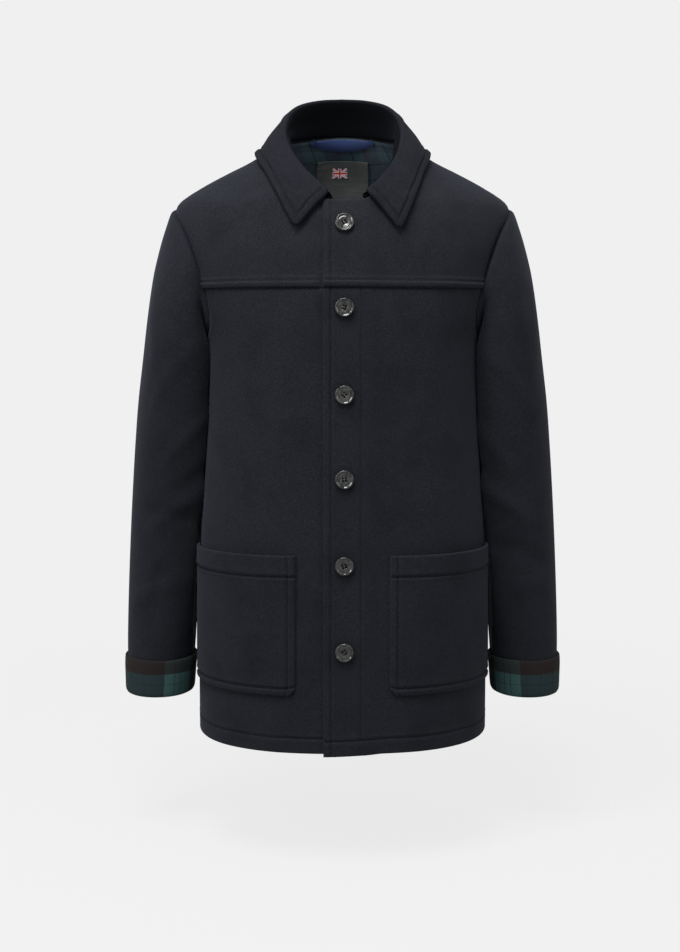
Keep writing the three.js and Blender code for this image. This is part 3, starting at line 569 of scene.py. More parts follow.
YOKE_AT = yoke_crossing()
SIDE_ROWS, FRONT_ARM_ROWS, BACK_ARM_ROWS = 11, 5, 11
YOKE_ROWS = (0, 0.06, 0.13, 0.3, 0.48, 0.66, 0.83, 1)
FRONT_SHARE = SIDE_ROWS / (SIDE_ROWS + FRONT_ARM_ROWS)
BACK_SHARE = SIDE_ROWS / (SIDE_ROWS + BACK_ARM_ROWS)
FRONT_CHEST, BACK_CHEST = -275, -350


def straight_line(z_from, z_to, turn):
    """A seam at the side of the trunk, `turn` half gaps past the quarter."""

    def read(t):
        z = lerp(z_from, z_to, np.asarray(t, float))
        return QUARTER + turn * half_gap(z), z

    return read


def in_two(t, share, low, middle, high):
    """A height that rises to the middle at `share` and from there to the top."""
    rest = (t - share) / (1 - share)
    return np.where(t < share, lerp(low, middle, t / share), lerp(middle, high, rest))


def front_place(side, u, v):
    top = YOKE_SEAM - SEAM_GAP / 2
    drop = PLACKET_DROP if side == LEFT else 0
    corner = float(armhole_front(YOKE_AT)[0])

    def low(t):
        return HEM - drop * (1 - ease(t, 0, 0.3))

    def centre(t):
        z = in_two(t, FRONT_SHARE, low(0.0), FRONT_CHEST, top)
        return angle_at_x(z, EDGE_X[side]), z

    def arm(t):
        angle, z = armhole_front(t * YOKE_AT)
        return np.minimum(angle, QUARTER - half_gap(z)), np.minimum(z, top)

    def bottom(t):
        start = angle_at_x(low(0.0), EDGE_X[side])
        return lerp(start, QUARTER - half_gap(HEM), t), low(t)

    def upper(t):
        return lerp(angle_at_x(top, EDGE_X[side]), corner, t), top + 0 * t

    side_seam = joined(FRONT_SHARE, straight_line(HEM, UNDERARM, -1), arm)
    return fill(centre, side_seam, bottom, upper, u, v, False)


NECK_SHARE = 0.5


def yoke_place(side, u, v):
    bottom = YOKE_SEAM + SEAM_GAP / 2
    collar_end = float(neck_front[side](0.0)[0])
    corner = float(armhole_front(YOKE_AT)[0])

    def centre(t):
        z = lerp(bottom, NECK_FRONT, t)
        return angle_at_x(z, EDGE_X[side]), z

    def arm(t):
        angle, z = armhole_front(lerp(YOKE_AT, 1, t))
        return np.minimum(angle, QUARTER - half_gap(z)), np.maximum(z, bottom)

    def level(t):
        start = angle_at_x(NECK_FRONT, EDGE_X[side])
        return lerp(start, collar_end, t), NECK_FRONT + 0 * t

    def lower(t):
        return lerp(angle_at_x(bottom, EDGE_X[side]), corner, t), bottom + 0 * t

    neck = joined(0.4, level, neck_front[side])
    top = joined(
        NECK_SHARE,
        lambda t: neck(np.minimum(t, 0.995)),
        straight_line(-1, SHOULDER_TIP, -1),
    )
    return fill(centre, arm, lower, top, u, v, False)


NECK_COLUMN_SHARE = 4 / 9


def back_place(u, v):
    def centre(t):
        z = in_two(t, BACK_SHARE, HEM, BACK_CHEST, 0)
        return HALF_TURN + 0 * z, z

    def arm(t):
        angle, z = armhole_back(t)
        return np.maximum(angle, QUARTER + half_gap(z)), z

    def bottom(t):
        return lerp(HALF_TURN, QUARTER + half_gap(HEM), t), HEM + 0 * t

    side_seam = joined(BACK_SHARE, straight_line(HEM, UNDERARM, 1), arm)
    top = joined(NECK_COLUMN_SHARE, neck_back, straight_line(0, SHOULDER_TIP, 1))
    return fill(centre, side_seam, bottom, top, u, v, True)


# Meshes


def marks(length, step, zones=(), ends=(True, True), keep=()):
    """Shares of a length, bunched at its ends and in the zones that are sewn along it."""
    at = list(np.linspace(0, length, max(2, round(length / step)) + 1))
    near = [0.2, 0.6, 1.1, 1.7, 2.5, 3.6, 5]
    at += near if ends[0] else []
    at += [length - d for d in near] if ends[1] else []
    for low, high, fine in zones:
        at += list(np.arange(low, high, fine))
    held = [0.0, *(share * length for share in keep), length]
    kept = []
    for a in sorted(a for a in at if 0 < a < length):
        if min(abs(a - h) for h in held) > 0.15 and (not kept or a - kept[-1] > 0.15):
            kept.append(a)
    return np.array(sorted(kept + held)) / length


def distances(points):
    """How far each point of a grid is from its four edges, along its rows and columns."""
    across = np.linalg.norm(np.diff(points, axis=1), axis=-1)
    up = np.linalg.norm(np.diff(points, axis=0), axis=-1)
    rows, columns = points.shape[:2]
    left = np.concatenate([np.zeros((rows, 1)), np.cumsum(across, axis=1)], axis=1)
    bottom = np.concatenate([np.zeros((1, columns)), np.cumsum(up, axis=0)], axis=0)
    return left, left[:, -1:] - left, bottom, bottom[-1:, :] - bottom


def grid_normals(grid, ring=False):
    if ring:
        across = np.roll(grid, -1, axis=1) - np.roll(grid, 1, axis=1)
    else:
        across = np.gradient(grid, axis=1)
    return unit(np.cross(across, np.gradient(grid, axis=0)))


def round_corner(p, q, radius):
    """The distances from two edges that meet, changed so that their corner is round."""
    a, b = (1 - np.clip(x / radius, 0, 1) for x in (p, q))
    inside = (a > 0) & (b > 0)
    return (
        np.where(inside, radius * (1 - a * np.sqrt(1 - b * b / 2)), p),
        np.where(inside, radius * (1 - b * np.sqrt(1 - a * a / 2)), q),
    )


def corner_pull(grid, near_row, near_column, radius, row_way, column_way):
    """How far to move a grid's points so that the corner of two of its edges is round.

    The edges' distances are given, and whether they grow (1) or shrink (-1) along the grid.
    """
    row, column = round_corner(near_row, near_column, radius)
    by_row, by_column = row - near_row, column - near_column
    down, across = unit(np.gradient(grid, axis=0)), unit(np.gradient(grid, axis=1))
    return down * (by_row * row_way)[..., None] + across * (by_column * column_way)[..., None]


def in_scene(name, data):
    made = bpy.data.objects.new(name, data)
    scene.collection.objects.link(made)
    return made


def mesh_of(bm, name, material):
    mesh = bpy.data.meshes.new(name)
    bm.to_mesh(mesh)
    bm.free()
    mesh.materials.append(material)
    return mesh


def finish(bm, name, material, smooth=50):
    mesh = mesh_of(bm, name, material)
    mesh.polygons.foreach_set("use_smooth", [True] * len(mesh.polygons))
    mesh.set_sharp_from_angle(angle=math.radians(smooth))
    piece = in_scene(name, mesh)
    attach(piece, "root")
    return piece


def sheet_of(uv):
    """A flat grid; each vertex keeps its row and column, and each corner its place in the cloth."""
    rows, columns = uv.shape[:2]
    bm = bmesh.new()
    row = bm.verts.layers.int.new("row")
    column = bm.verts.layers.int.new("column")
    bmesh.ops.create_grid(bm, x_segments=columns - 1, y_segments=rows - 1, size=1)
    for v in bm.verts:
        v[column] = round((v.co.x + 1) / 2 * (columns - 1))
        v[row] = round((v.co.y + 1) / 2 * (rows - 1))
    layer = bm.loops.layers.uv.new("cloth")
    for face in bm.faces:
        for loop in face.loops:
            loop[layer].uv = uv[loop.vert[row], loop.vert[column]] * MM
    return bm, row, column


def cloth_piece(bm, name, material, node):
    """The finished cloth, in place of the node's solid if it has one."""
    bmesh.ops.remove_doubles(bm, verts=bm.verts[:], dist=1e-6)
    bmesh.ops.recalc_face_normals(bm, faces=bm.faces[:])
    piece = finish(bm, f"{name}_cloth", material)
    if node:
        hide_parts(name)
    return piece


def shell(name, outer, inner, material, uv=None, closed=False, node=True):
    """Cloth between an outer and an inner grid of points. A tube's last column is its first."""
    if uv is None:
        uv = np.stack(distances(outer)[::2], axis=-1)
    bm, row, column = sheet_of(uv)
    if closed:
        first = {v[row]: v for v in bm.verts if v[column] == 0}
        last = {v: first[v[row]] for v in bm.verts if v[column] == outer.shape[1] - 1}
        bmesh.ops.weld_verts(bm, targetmap=last)
    under = list(bm.verts)
    made = bmesh.ops.extrude_face_region(bm, geom=bm.faces[:], use_keep_orig=True)
    for v in under:
        v.co = inner[v[row], v[column]] * MM
    for v in made["geom"]:
        if isinstance(v, bmesh.types.BMVert):
            v.co = outer[v[row], v[column]] * MM
    return cloth_piece(bm, name, material, node)


def run_along(line):
    """How far along a line each of its points is."""
    return np.concatenate([[0], np.cumsum(np.linalg.norm(np.diff(line, axis=0), axis=1))])


def rounded(distance, radius):
    """How far a rounded edge drops at a distance from it."""
    t = 1 - np.clip(distance / radius, 0, 1)
    return radius * (1 - np.sqrt(np.maximum(0, 1 - t * t)))


def groove(distance, at, width=1.7, depth=0.9):
    """The dent that a row of stitches pulls, and the soft swelling on both its sides."""
    off = distance - at
    dent = -depth * np.exp(-((off / width) ** 2))
    return dent + 0.35 * depth * np.exp(-(((np.abs(off) - 3.2) / 2.2) ** 2))


def seam(distance, depth=1.5, width=2.4):
    return -depth * np.exp(-((distance / width) ** 2))


# Stitches: short threads along a line on a piece

random.seed(7)
STITCH_PITCH = 3.4
STITCH_LONG = STITCH_PITCH * 0.72 / 2
THREAD = 0.34


def line_on(points, normals, distance, at, first=0.0, last=1e9):
    """A polyline where a grid's distance from an edge is `at`; distance varies along the rows."""
    line, out = [], []
    for p, n, d in zip(points, normals, distance):
        order = np.argsort(d)
        if not d[order[0]] <= at <= d[order[-1]]:
            continue
        line.append([np.interp(at, d[order], p[order, k]) for k in range(3)])
        out.append([np.interp(at, d[order], n[order, k]) for k in range(3)])
    line, out = np.array(line), unit(np.array(out))
    run = run_along(line)
    keep = (run >= first) & (run <= last)
    return line[keep], out[keep]


def line_across(points, normals, distance, *at, **limits):
    """The same where the distance varies along the columns."""
    return line_on(points.swapaxes(0, 1), normals.swapaxes(0, 1), distance.T, *at, **limits)


def read_line(s, run, line):
    return Vector([np.interp(s, run, line[:, k]) for k in range(3)])


def stitches(name, lines):
    """Threads sunk a little into the cloth, one after another along each line."""
    bm = bmesh.new()
    for line, out in lines:
        if len(line) < 2:
            continue
        run = run_along(line)
        for i in range(int(run[-1] / STITCH_PITCH)):
            s = (i + 0.5) * STITCH_PITCH + random.uniform(-0.15, 0.15)
            along = (read_line(s + 1, run, line) - read_line(s - 1, run, line)).normalized()
            across = read_line(s, run, out).normalized().cross(along).normalized()
            up = along.cross(across)
            turn = Matrix((along * STITCH_LONG, across * THREAD, up * THREAD)).transposed()
            place = Matrix.Translation((read_line(s, run, line) + up * 0.1) * MM)
            shape = place @ (turn * MM).to_4x4()
            bmesh.ops.create_icosphere(bm, subdivisions=1, radius=1, matrix=shape)
    return finish(bm, f"{name}_stitching", THREAD_NAVY, smooth=180)


# Finishes


class Value:
    """A socket of a finish, for sums on numbers."""

    def __init__(self, finish, socket):
        self.finish, self.socket = finish, socket

    def sum(self, operation, *values):
        inputs = dict(enumerate(values))
        return self.finish.node("ShaderNodeMath", inputs, operation=operation)

    def __add__(self, other):
        return self.sum("ADD", self, other)

    def __sub__(self, other):
        return self.sum("SUBTRACT", self, other)

    def __rsub__(self, other):
        return self.sum("SUBTRACT", other, self)

    def __mul__(self, other):
        return self.sum("MULTIPLY", self, other)

    def __truediv__(self, other):
        return self.sum("DIVIDE", self, other)

    __radd__ = __add__

    def __lt__(self, other):
        return self.sum("LESS_THAN", self, other)

    def __abs__(self):
        return self.sum("ABSOLUTE", self)


class Finish:
    """A material; its constants sit straight on the shader's sockets."""

    def __init__(self, name, **constants):
        self.material = bpy.data.materials.new(name)
        self.material.use_nodes = True
        self.nodes = self.material.node_tree.nodes
        self.links = self.material.node_tree.links
        self.shader = self.nodes["Principled BSDF"]
        for socket, value in constants.items():
            self.shader.inputs[socket.replace("_", " ")].default_value = value

    def node(self, kind, inputs=(), output=0, **settings):
        made = self.nodes.new(kind)
        for setting, value in settings.items():
            setattr(made, setting, value)
        for socket, value in dict(inputs).items():
            if isinstance(value, Value):
                self.links.new(value.socket, made.inputs[socket])
            else:
                made.inputs[socket].default_value = value
        return Value(self, made.outputs[output])

    def feed(self, socket, value):
        self.links.new(value.socket, self.shader.inputs[socket])

    def place(self, kind="Object"):
        return self.node("ShaderNodeTexCoord", output=kind)

    def stretch(self, vector, scale):
        return self.node("ShaderNodeMapping", {"Vector": vector, "Scale": scale})

    def noise(self, vector, scale, detail=2.0, roughness=0.5):
        inputs = {"Vector": vector, "Scale": scale, "Detail": detail, "Roughness": roughness}
        return self.node("ShaderNodeTexNoise", inputs, output="Fac")

    def bands(self, vector, scale, distortion, direction, detail=2.0, detail_scale=1.0):
        inputs = {"Vector": vector, "Scale": scale, "Distortion": distortion}
        inputs.update({"Detail": detail, "Detail Scale": detail_scale})
        settings = {"wave_type": "BANDS", "bands_direction": direction}
        return self.node("ShaderNodeTexWave", inputs, output="Fac", **settings)

    def split(self, vector):
        across = self.node("ShaderNodeSeparateXYZ", {0: vector})
        return across, Value(self, across.socket.node.outputs[1])

    def mix(self, share, *colours):
        inputs = {"Factor": share}
        for socket, colour in zip((6, 7), colours):
            inputs[socket] = (*colour, 1) if isinstance(colour, tuple) else colour
        return self.node("ShaderNodeMix", inputs, output=2, data_type="RGBA")

    def smooth(self, value, low, high):
        inputs = {"Value": value, "From Min": low, "From Max": high}
        return self.node("ShaderNodeMapRange", inputs, interpolation_type="SMOOTHSTEP")

    def bump(self, height, distance, strength):
        inputs = {"Height": height, "Distance": distance, "Strength": strength}
        self.feed("Normal", self.node("ShaderNodeBump", inputs))


NAVY = (0.0060, 0.0066, 0.0086)
NAVY_LIGHT = (0.0150, 0.0160, 0.0196)
NAVY_DEEP = (0.0026, 0.0029, 0.0042)


def melton_finish(name="melton", stand=False):
    """Felted wool with short fibres. On the collar the stand carries painted shade: below the fold
    its colour is darkened almost to black.
    """
    cloth = Finish(
        name, Roughness=0.95, Specular_IOR_Level=0.03 if stand else 0.05,
        Sheen_Weight=0.01 if stand else 0.025, Sheen_Roughness=0.5, Sheen_Tint=(0.6, 0.68, 0.9, 1),
    )
    where = cloth.place()
    flecks = cloth.noise(cloth.stretch(where, (1, 1, 2.3)), 430, 3.0, 0.62)
    fibres = cloth.noise(cloth.stretch(where, (1, 1, 3.2)), 1150, 2.0, 0.6)
    clouds = cloth.noise(where, 24, 3.0, 0.55)
    colour = cloth.mix(cloth.smooth(flecks, 0.36, 0.72), NAVY_DEEP, NAVY_LIGHT)
    colour = cloth.mix(0.6, colour, NAVY)
    colour = cloth.mix(cloth.smooth(clouds, 0.4, 0.75) * 0.35, colour, NAVY_DEEP)
    colour = cloth.mix(cloth.smooth(fibres, 0.58, 0.8) * 0.36, colour, NAVY_LIGHT)
    # On the collar the whole colour is first mixed a fifth of the way to the deep navy. Then comes
    # painted shade: below the fold (UV across under 0.475) the stand's colour is taken almost to
    # black, standing for the shadow inside the neck.
    if stand:
        up, _ = cloth.split(cloth.place("UV"))
        colour = cloth.mix(0.2, colour, NAVY_DEEP)
        colour = cloth.mix(1 - cloth.smooth(up, 0.37, 0.475), colour, (0.0003, 0.0004, 0.0007))
    cloth.feed("Base Color", colour)
    cloth.bump(flecks + fibres * 0.5, 0.0009, 0.27)
    return cloth.material


CHECK_GREEN = (0.0200, 0.0450, 0.0440)
CHECK_DARK = (0.0090, 0.0150, 0.0165)
CHECK_BROWN = (0.0092, 0.0050, 0.0047)
CHECK_BLACK = (0.0030, 0.0034, 0.0042)


def stripes(cloth, along, bands, repeat):
    """1 inside any of the bands of a repeating width, else 0; all in millimetres."""
    here = along / (repeat * MM)
    here = cloth.node("ShaderNodeMath", {0: here}, operation="FRACT") * repeat
    total = None
    for low, high in bands:
        band = cloth.smooth(here, low - 0.5, low + 0.5)
        band = band * (1 - cloth.smooth(here, high - 0.5, high + 0.5))
        total = band if total is None else total + band
    return total


def tartan_finish(name, tones, green, brown, lines, cross, cross_lines, repeat):
    """A brushed check: bands along the cloth crossed by bands up it, with thin dark lines."""
    cloth = Finish(name, Roughness=0.95, Specular_IOR_Level=0.04, Sheen_Weight=0.01)
    uv = cloth.place("UV")
    across, up = cloth.split(uv)
    wobble = (cloth.noise(uv, 90, 2.0) - 0.5) * 0.0022
    across, up = across + wobble, up + wobble
    is_green = stripes(cloth, across, green, repeat)
    is_brown = stripes(cloth, up, brown, repeat)
    is_band = stripes(cloth, up, cross, repeat)
    is_line = stripes(cloth, across, lines, repeat) * 0.6
    is_line = is_line + stripes(cloth, up, cross_lines, repeat) * 0.5
    colour = cloth.mix(is_green * (0.35 + is_band * 0.65), tones[0], tones[1])
    colour = cloth.mix(is_brown * (1 - is_green * 0.35), colour, tones[2])
    colour = cloth.mix(is_line, colour, CHECK_BLACK)
    fuzz = cloth.noise(cloth.stretch(uv, (1, 2.5, 1)), 1100, 3.0, 0.65)
    brushed = tuple(2.0 * c for c in tones[0])
    cloth.feed("Base Color", cloth.mix(cloth.smooth(fuzz, 0.35, 0.85) * 0.45, colour, brushed))
    cloth.bump(cloth.bands(uv, 180.0, 1.5, "DIAGONAL", 1.0) * 0.35 + fuzz, 0.0008, 0.6)
    return cloth.material


def tape_finish():
    tape = Finish("tape", Roughness=0.8, Specular_IOR_Level=0.06)
    uv = tape.place("UV")
    ribs = tape.bands(uv, 330.0, 0.4, "X")
    colour = tape.mix(ribs, (0.012, 0.020, 0.058), (0.026, 0.042, 0.110))
    wear = tape.smooth(tape.noise(uv, 140, 3.0), 0.5, 0.8)
    tape.feed("Base Color", tape.mix(wear * 0.4, colour, (0.012, 0.018, 0.05)))
    tape.bump(ribs, 0.0005, 0.5)
    return tape.material


def label_finish():
    woven = Finish("label", Roughness=0.7, Specular_IOR_Level=0.15)
    uv = woven.place("UV")
    weave = woven.bands(uv, 420.0, 0.3, "Y")
    wear = woven.smooth(woven.noise(woven.stretch(uv, (0.3, 1.6, 1)), 90, 3.0), 0.4, 0.8)
    colour = woven.mix(weave, (0.049, 0.053, 0.054), (0.082, 0.089, 0.090))
    woven.feed("Base Color", woven.mix(wear * 0.6, colour, (0.120, 0.124, 0.123)))
    woven.bump(weave, 0.0003, 0.4)
    return woven.material


def flag_finish():
    """The Union flag, woven: a field, two saltires and two crosses, from their own widths."""
    flag = Finish("flag", Roughness=0.6, Specular_IOR_Level=0.3)
    uv = flag.place("UV")
    across, up = flag.split(uv)
    x, y = across - FLAG_WIDE / 2 * MM, up - FLAG_TALL / 2 * MM
    slope = FLAG_TALL / FLAG_WIDE
    steep = math.hypot(1, slope)
    diagonals = [(y - x * (turn * slope)) / steep for turn in (1, -1)]
    colour, white, red = (0.022, 0.034, 0.14), (0.85, 0.85, 0.83), (0.62, 0.035, 0.045)
    for lines, half, tone in (
        (diagonals, 1.2, white), (diagonals, 0.4, red), ((x, y), 1.9, white), ((x, y), 1.1, red),
    ):
        for off in lines:
            colour = flag.mix(abs(off) < half * MM, colour, tone)
    thread = flag.noise(flag.stretch(uv, (1, 3, 1)), 2600, 1.0)
    flag.feed("Base Color", flag.mix(flag.smooth(thread, 0.45, 0.8) * 0.2, colour, (0.3, 0.3, 0.3)))
    flag.bump(thread, 0.0002, 0.4)
    return flag.material


def button_finish():
    """Dark resin with pale veins, polished."""
    resin = Finish("button", Specular_IOR_Level=0.3)
    where = resin.place()
    swirl = resin.noise(where, 130, 4.0, 0.6)
    veins = resin.bands(where, 60.0, 9.0, "X", 3.0, 2.0)
    dark, pale = (0.0045, 0.0050, 0.0050), (0.024, 0.026, 0.024)
    colour = resin.mix(resin.smooth(swirl, 0.35, 0.7), dark, pale)
    colour = resin.mix(resin.smooth(veins, 0.75, 0.98) * 0.45, colour, (0.04, 0.04, 0.035))
    resin.feed("Base Color", colour)
    resin.feed("Roughness", resin.smooth(swirl, 0.2, 0.9) * 0.05 + 0.07)
    return resin.material


def thread_finish(name, colour):
    thread = Finish(name, Roughness=0.85, Specular_IOR_Level=0.06)
    fuzz = thread.noise(thread.place(), 2400, 2.0)
    tones = (tuple(share * c for c in colour) for share in (0.7, 1.3))
    thread.feed("Base Color", thread.mix(fuzz, *tones))
    thread.bump(fuzz, 0.0002, 0.5)
    return thread.material


MELTON = melton_finish()
# The collar's finish has painted shade: the stand is darkened almost to black below the fold.
COLLAR_MELTON_WITH_PAINTED_SHADE = melton_finish("collar_melton_painted_shade", stand=True)
THREAD_NAVY = thread_finish("thread", (0.0034, 0.0037, 0.0052))


# The fronts and yokes


def held_at_button(points, side):
    """Cloth is drawn in a little around each button."""
    if side != LEFT:
        return 0
    pull = np.zeros(points.shape[:2])
    for z in BUTTON_HEIGHTS:
        off = np.hypot(points[..., 0] - BUTTON_X, points[..., 2] - z)
        pull = pull - 0.7 * np.exp(-((off / 8) ** 2)) + 0.35 * np.exp(-(((off - 17) / 6) ** 2))
    return pull


def front(side, word):
    u = marks(295, 4.6, zones=((0, 62, 1.7),))
    v = marks(566, 5.2, zones=((13, 25, 1.1),), keep=(FRONT_SHARE,))
    place = front_place(side, u, v)
    flat = on_trunk(side, place, 0.0, draped=False)
    left, right, bottom, top = distances(flat)
    x = flat[..., 0]
    edges = rounded(left, EDGE_ROUND) + rounded(bottom, EDGE_ROUND)
    out = seam(right, *SIDE_SEAM) + seam(top, 1.1) - edges
    out = out + groove(bottom, HEM_STITCH, *SEWN_HEM) + held_at_button(flat, side)
    if side == LEFT:
        out = out + groove(left, EDGE_STITCH, *SEWN_EDGE) + groove(x, FACING_STITCH, 1.6, 0.7)
    outer = on_trunk(side, place, out)
    piece = shell(f"front_{word}", outer, on_trunk(side, place, -CLOTH + edges), MELTON)
    normals = grid_normals(outer) * side
    lines = [line_across(outer, normals, bottom, HEM_STITCH, first=4)]
    if side == LEFT:
        lines.append(line_on(outer, normals, left, EDGE_STITCH, first=4))
        lines.append(line_on(outer, normals, x, FACING_STITCH, first=20))
    return piece, stitches(f"front_{word}", lines)


def yoke(side, word):
    u = marks(225, 4, zones=((0, 60, 1.8),), keep=(0.4 * NECK_SHARE, NECK_SHARE))
    v = marks(118, 3.6, zones=((0, 14, 0.9), (104, 118, 1.6)))
    place = yoke_place(side, u, v)
    flat = on_trunk(side, place, 0.0, draped=False)
    left, right, bottom, top = distances(flat)
    x = flat[..., 0] * side
    shown = 1 if side == LEFT else ease(x, 26, 33)
    on_shoulder = ease(u, NECK_SHARE, NECK_SHARE + 0.03)[None, :]
    out = WELT_RISE * shown * (1 - ease(bottom, 6, 14)) - rounded(bottom, 2.4) * shown
    low = 1 - 0.85 * ease(flat[..., 2], *SHOULDER_FADE)
    out = out + groove(bottom, YOKE_STITCH, 1.9, 1.4) * shown + seam(right, *SIDE_SEAM) * low
    out = out + seam(top, 1.2) + groove(top, SHOULDER_STITCH, 1.6, 0.8) * on_shoulder
    out = out - rounded(left, EDGE_ROUND) + held_at_button(flat, side)
    if side == LEFT:
        out = out + groove(left, EDGE_STITCH, *SEWN_EDGE)
    outer = on_trunk(side, place, out)
    inner = on_trunk(side, place, -CLOTH + rounded(left, EDGE_ROUND))
    if side == LEFT:
        pull = corner_pull(flat, top, left, PLACKET_CORNER, -1, 1)
        outer, inner = outer + pull, inner + pull
    piece = shell(f"front_yoke_{word}", outer, inner, MELTON)
    normals = grid_normals(outer) * side
    shoulder = u > NECK_SHARE + 0.01
    lines = [
        line_across(outer, normals, bottom, YOKE_STITCH, first=4 if side == LEFT else 52),
        line_across(*(grid[:, shoulder] for grid in (outer, normals, top)), SHOULDER_STITCH),
    ]
    if side == LEFT:
        lines.append(line_on(outer, normals, left, EDGE_STITCH))
    return piece, stitches(f"front_yoke_{word}", lines)


def both_sides(u):
    """Shares out from the centre back to the right and to the left, and the side of each."""
    return np.concatenate([u[:0:-1], u]), np.array([RIGHT] * (len(u) - 1) + [LEFT] * len(u))


def on_back(place, side_of, out, draped=True):
    """Points on the whole back, whose columns belong to the right and then to the left."""
    out = np.broadcast_to(out, place[0].shape)
    halves = []
    for side in (RIGHT, LEFT):
        mine = side_of == side
        halves.append(on_trunk(side, (place[0][:, mine], place[1][:, mine]), out[:, mine], draped))
    return np.concatenate(halves, axis=1)


def back():
    u = marks(290, 4.8, ends=(False, True), keep=(NECK_COLUMN_SHARE,))
    v = marks(770, 5.2, zones=((13, 25, 1.2),), keep=(BACK_SHARE,))
    angle, z = back_place(u, v)
    half = on_trunk(LEFT, (angle, z), 0.0, draped=False)
    _, right, bottom, top = distances(half)
    hem = rounded(bottom, EDGE_ROUND)
    out = seam(right, *SIDE_SEAM) + seam(top, 1.2) - hem + groove(bottom, HEM_STITCH, *SEWN_HEM)
    mirror, side_of = both_sides(np.arange(len(u)))
    place = angle[:, mirror], z[:, mirror]
    outer = on_back(place, side_of, out[:, mirror])
    inner = on_back(place, side_of, -CLOTH + hem[:, mirror])
    piece = shell("back", outer, inner, MELTON)
    line = line_across(outer, -grid_normals(outer), bottom[:, mirror], HEM_STITCH, first=2)
    return piece, stitches("back", [line])


# The sleeves

EVEN = 2.1
LAP_TURN, LAP_SPREAD = 2.23, 0.5
ROUND = 124
FRONT_STOPS = np.concatenate([
    lerp(YOKE_AT, 1, np.array(YOKE_ROWS[::-1])),
    YOKE_AT * np.arange(FRONT_ARM_ROWS)[::-1] / FRONT_ARM_ROWS,
])


def armhole_ring(side, turn, gap):
    """The armhole's edge at each turn, moved `gap` away from the panels along their faces."""
    count = len(FRONT_STOPS) - 1
    ahead_of = turn <= HALF_TURN
    t = np.where(
        ahead_of, np.interp(turn / HALF_TURN * count, np.arange(count + 1), FRONT_STOPS),
        turn / HALF_TURN - 1,
    )

    def edge(t):
        t = np.clip(t, 0, 1)
        return tuple(np.where(ahead_of, a, b) for a, b in zip(armhole_front(t), armhole_back(t)))

    place = edge(t)
    normal = normal_on(side, place)
    run = on_trunk(side, edge(t + 0.01), 0.0, False) - on_trunk(side, edge(t - 0.01), 0.0, False)
    away = unit(np.cross(run, normal))
    point = on_trunk(side, place, 0.0, False)
    centre = point * np.array([1, 0, 0]) + np.array([0, 0, (SHOULDER_TIP + UNDERARM) / 2])
    away = away * np.where((away * (centre - point)).sum(-1) < 0, -1, 1)[:, None]
    return point + away * gap, normal


def power(value):
    return np.sign(value) * np.abs(value) ** (2 / EVEN)


sleeve_gap = curve(SLEEVE_CLEAR, "z", "gap")


def sleeve_rings(side, turn):
    rings = []
    for i in range(len(SLEEVE["front"])):
        row = {name: column[i] for name, column in SLEEVE.items()}
        outwards = power(np.cos(turn)) / 2
        x = (row["outer_x"] + row["inner_x"]) / 2 + (row["outer_x"] - row["inner_x"]) * outwards
        lap = row["lap"] * np.exp(-(((turn - LAP_TURN) / LAP_SPREAD) ** 2))
        x = side * (x - row["bow"] * np.sin(turn) ** 2 - lap)
        y = (row["front"] + row["back"]) / 2
        y = y - (row["back"] - row["front"]) / 2 * power(np.sin(turn))
        z = (row["outer_z"] + row["inner_z"]) / 2 + (row["outer_z"] - row["inner_z"]) * outwards
        ring = np.stack([x, y, z], axis=-1)
        rings.append(clear_of_trunk(ring, sleeve_gap(z), side))
    return rings


def sleeve_grid(side, turn, steps):
    head, normal = armhole_ring(side, turn, SEAM_GAP)
    rings = [head, *sleeve_rings(side, turn)]
    runs = [np.linalg.norm(b - a, axis=-1).mean() for a, b in zip(rings, rings[1:])]
    at = np.concatenate([[0], np.cumsum(runs)])
    where = steps * at[-1]
    grid = through(at, np.array(rings), where)
    gap = np.minimum(sleeve_gap(grid[..., 2]), where[:, None] * 0.25)
    grid = clear_of_trunk(grid, gap, side)
    grid[0] = head
    return grid, where, normal


def sleeve(side, word):
    turn = np.linspace(0, 2 * HALF_TURN, ROUND + 1)
    steps = marks(640, 5.2)
    grid, where, head_normal = sleeve_grid(side, turn, steps)
    open_grid = grid[:, :-1]
    normals = grid_normals(open_grid, ring=True)
    if normals[40, 0, 0] * side < 0:
        normals = -normals
    low = (1 - ease(open_grid[0, :, 2], UNDERARM + 10, UNDERARM + 60))[:, None]
    for i, share in enumerate((1.0, 0.9, 0.8, 0.6, 0.4, 0.2)):
        level = lerp(head_normal[:-1], normals[i], low)
        normals[i] = unit(lerp(normals[i], level, share))
    normals = np.concatenate([normals, normals[:, :1]], axis=1)
    degrees = np.degrees(turn)[None, :]
    z = grid[..., 2]
    tall = folds(SLEEVE_FOLDS[side], degrees, z, SLEEVE_MM_A_DEGREE)
    inner_side = np.exp(-(((degrees - 180) / 34) ** 2)) * (1 - ease(-z, 560, 640))
    tall = tall * (1 - inner_side) * ease(where[:, None], 12, 60)
    tall = tall * (1 - ease(-z, 640, 668))
    round_mm = np.abs(degrees - 186) * SLEEVE_MM_A_DEGREE
    tip = 1 - 0.85 * ease(grid[:1, :, 2], *SHOULDER_FADE)
    tall = tall + seam(where[:, None], 1.1) * tip
    tall = tall + seam(round_mm, 0.8, 2.0) * ease(where[:, None], 4, 12)
    outer = grid + normals * tall[..., None]
    return shell(f"sleeve_{word}", outer, grid - normals * CLOTH, MELTON, closed=True)


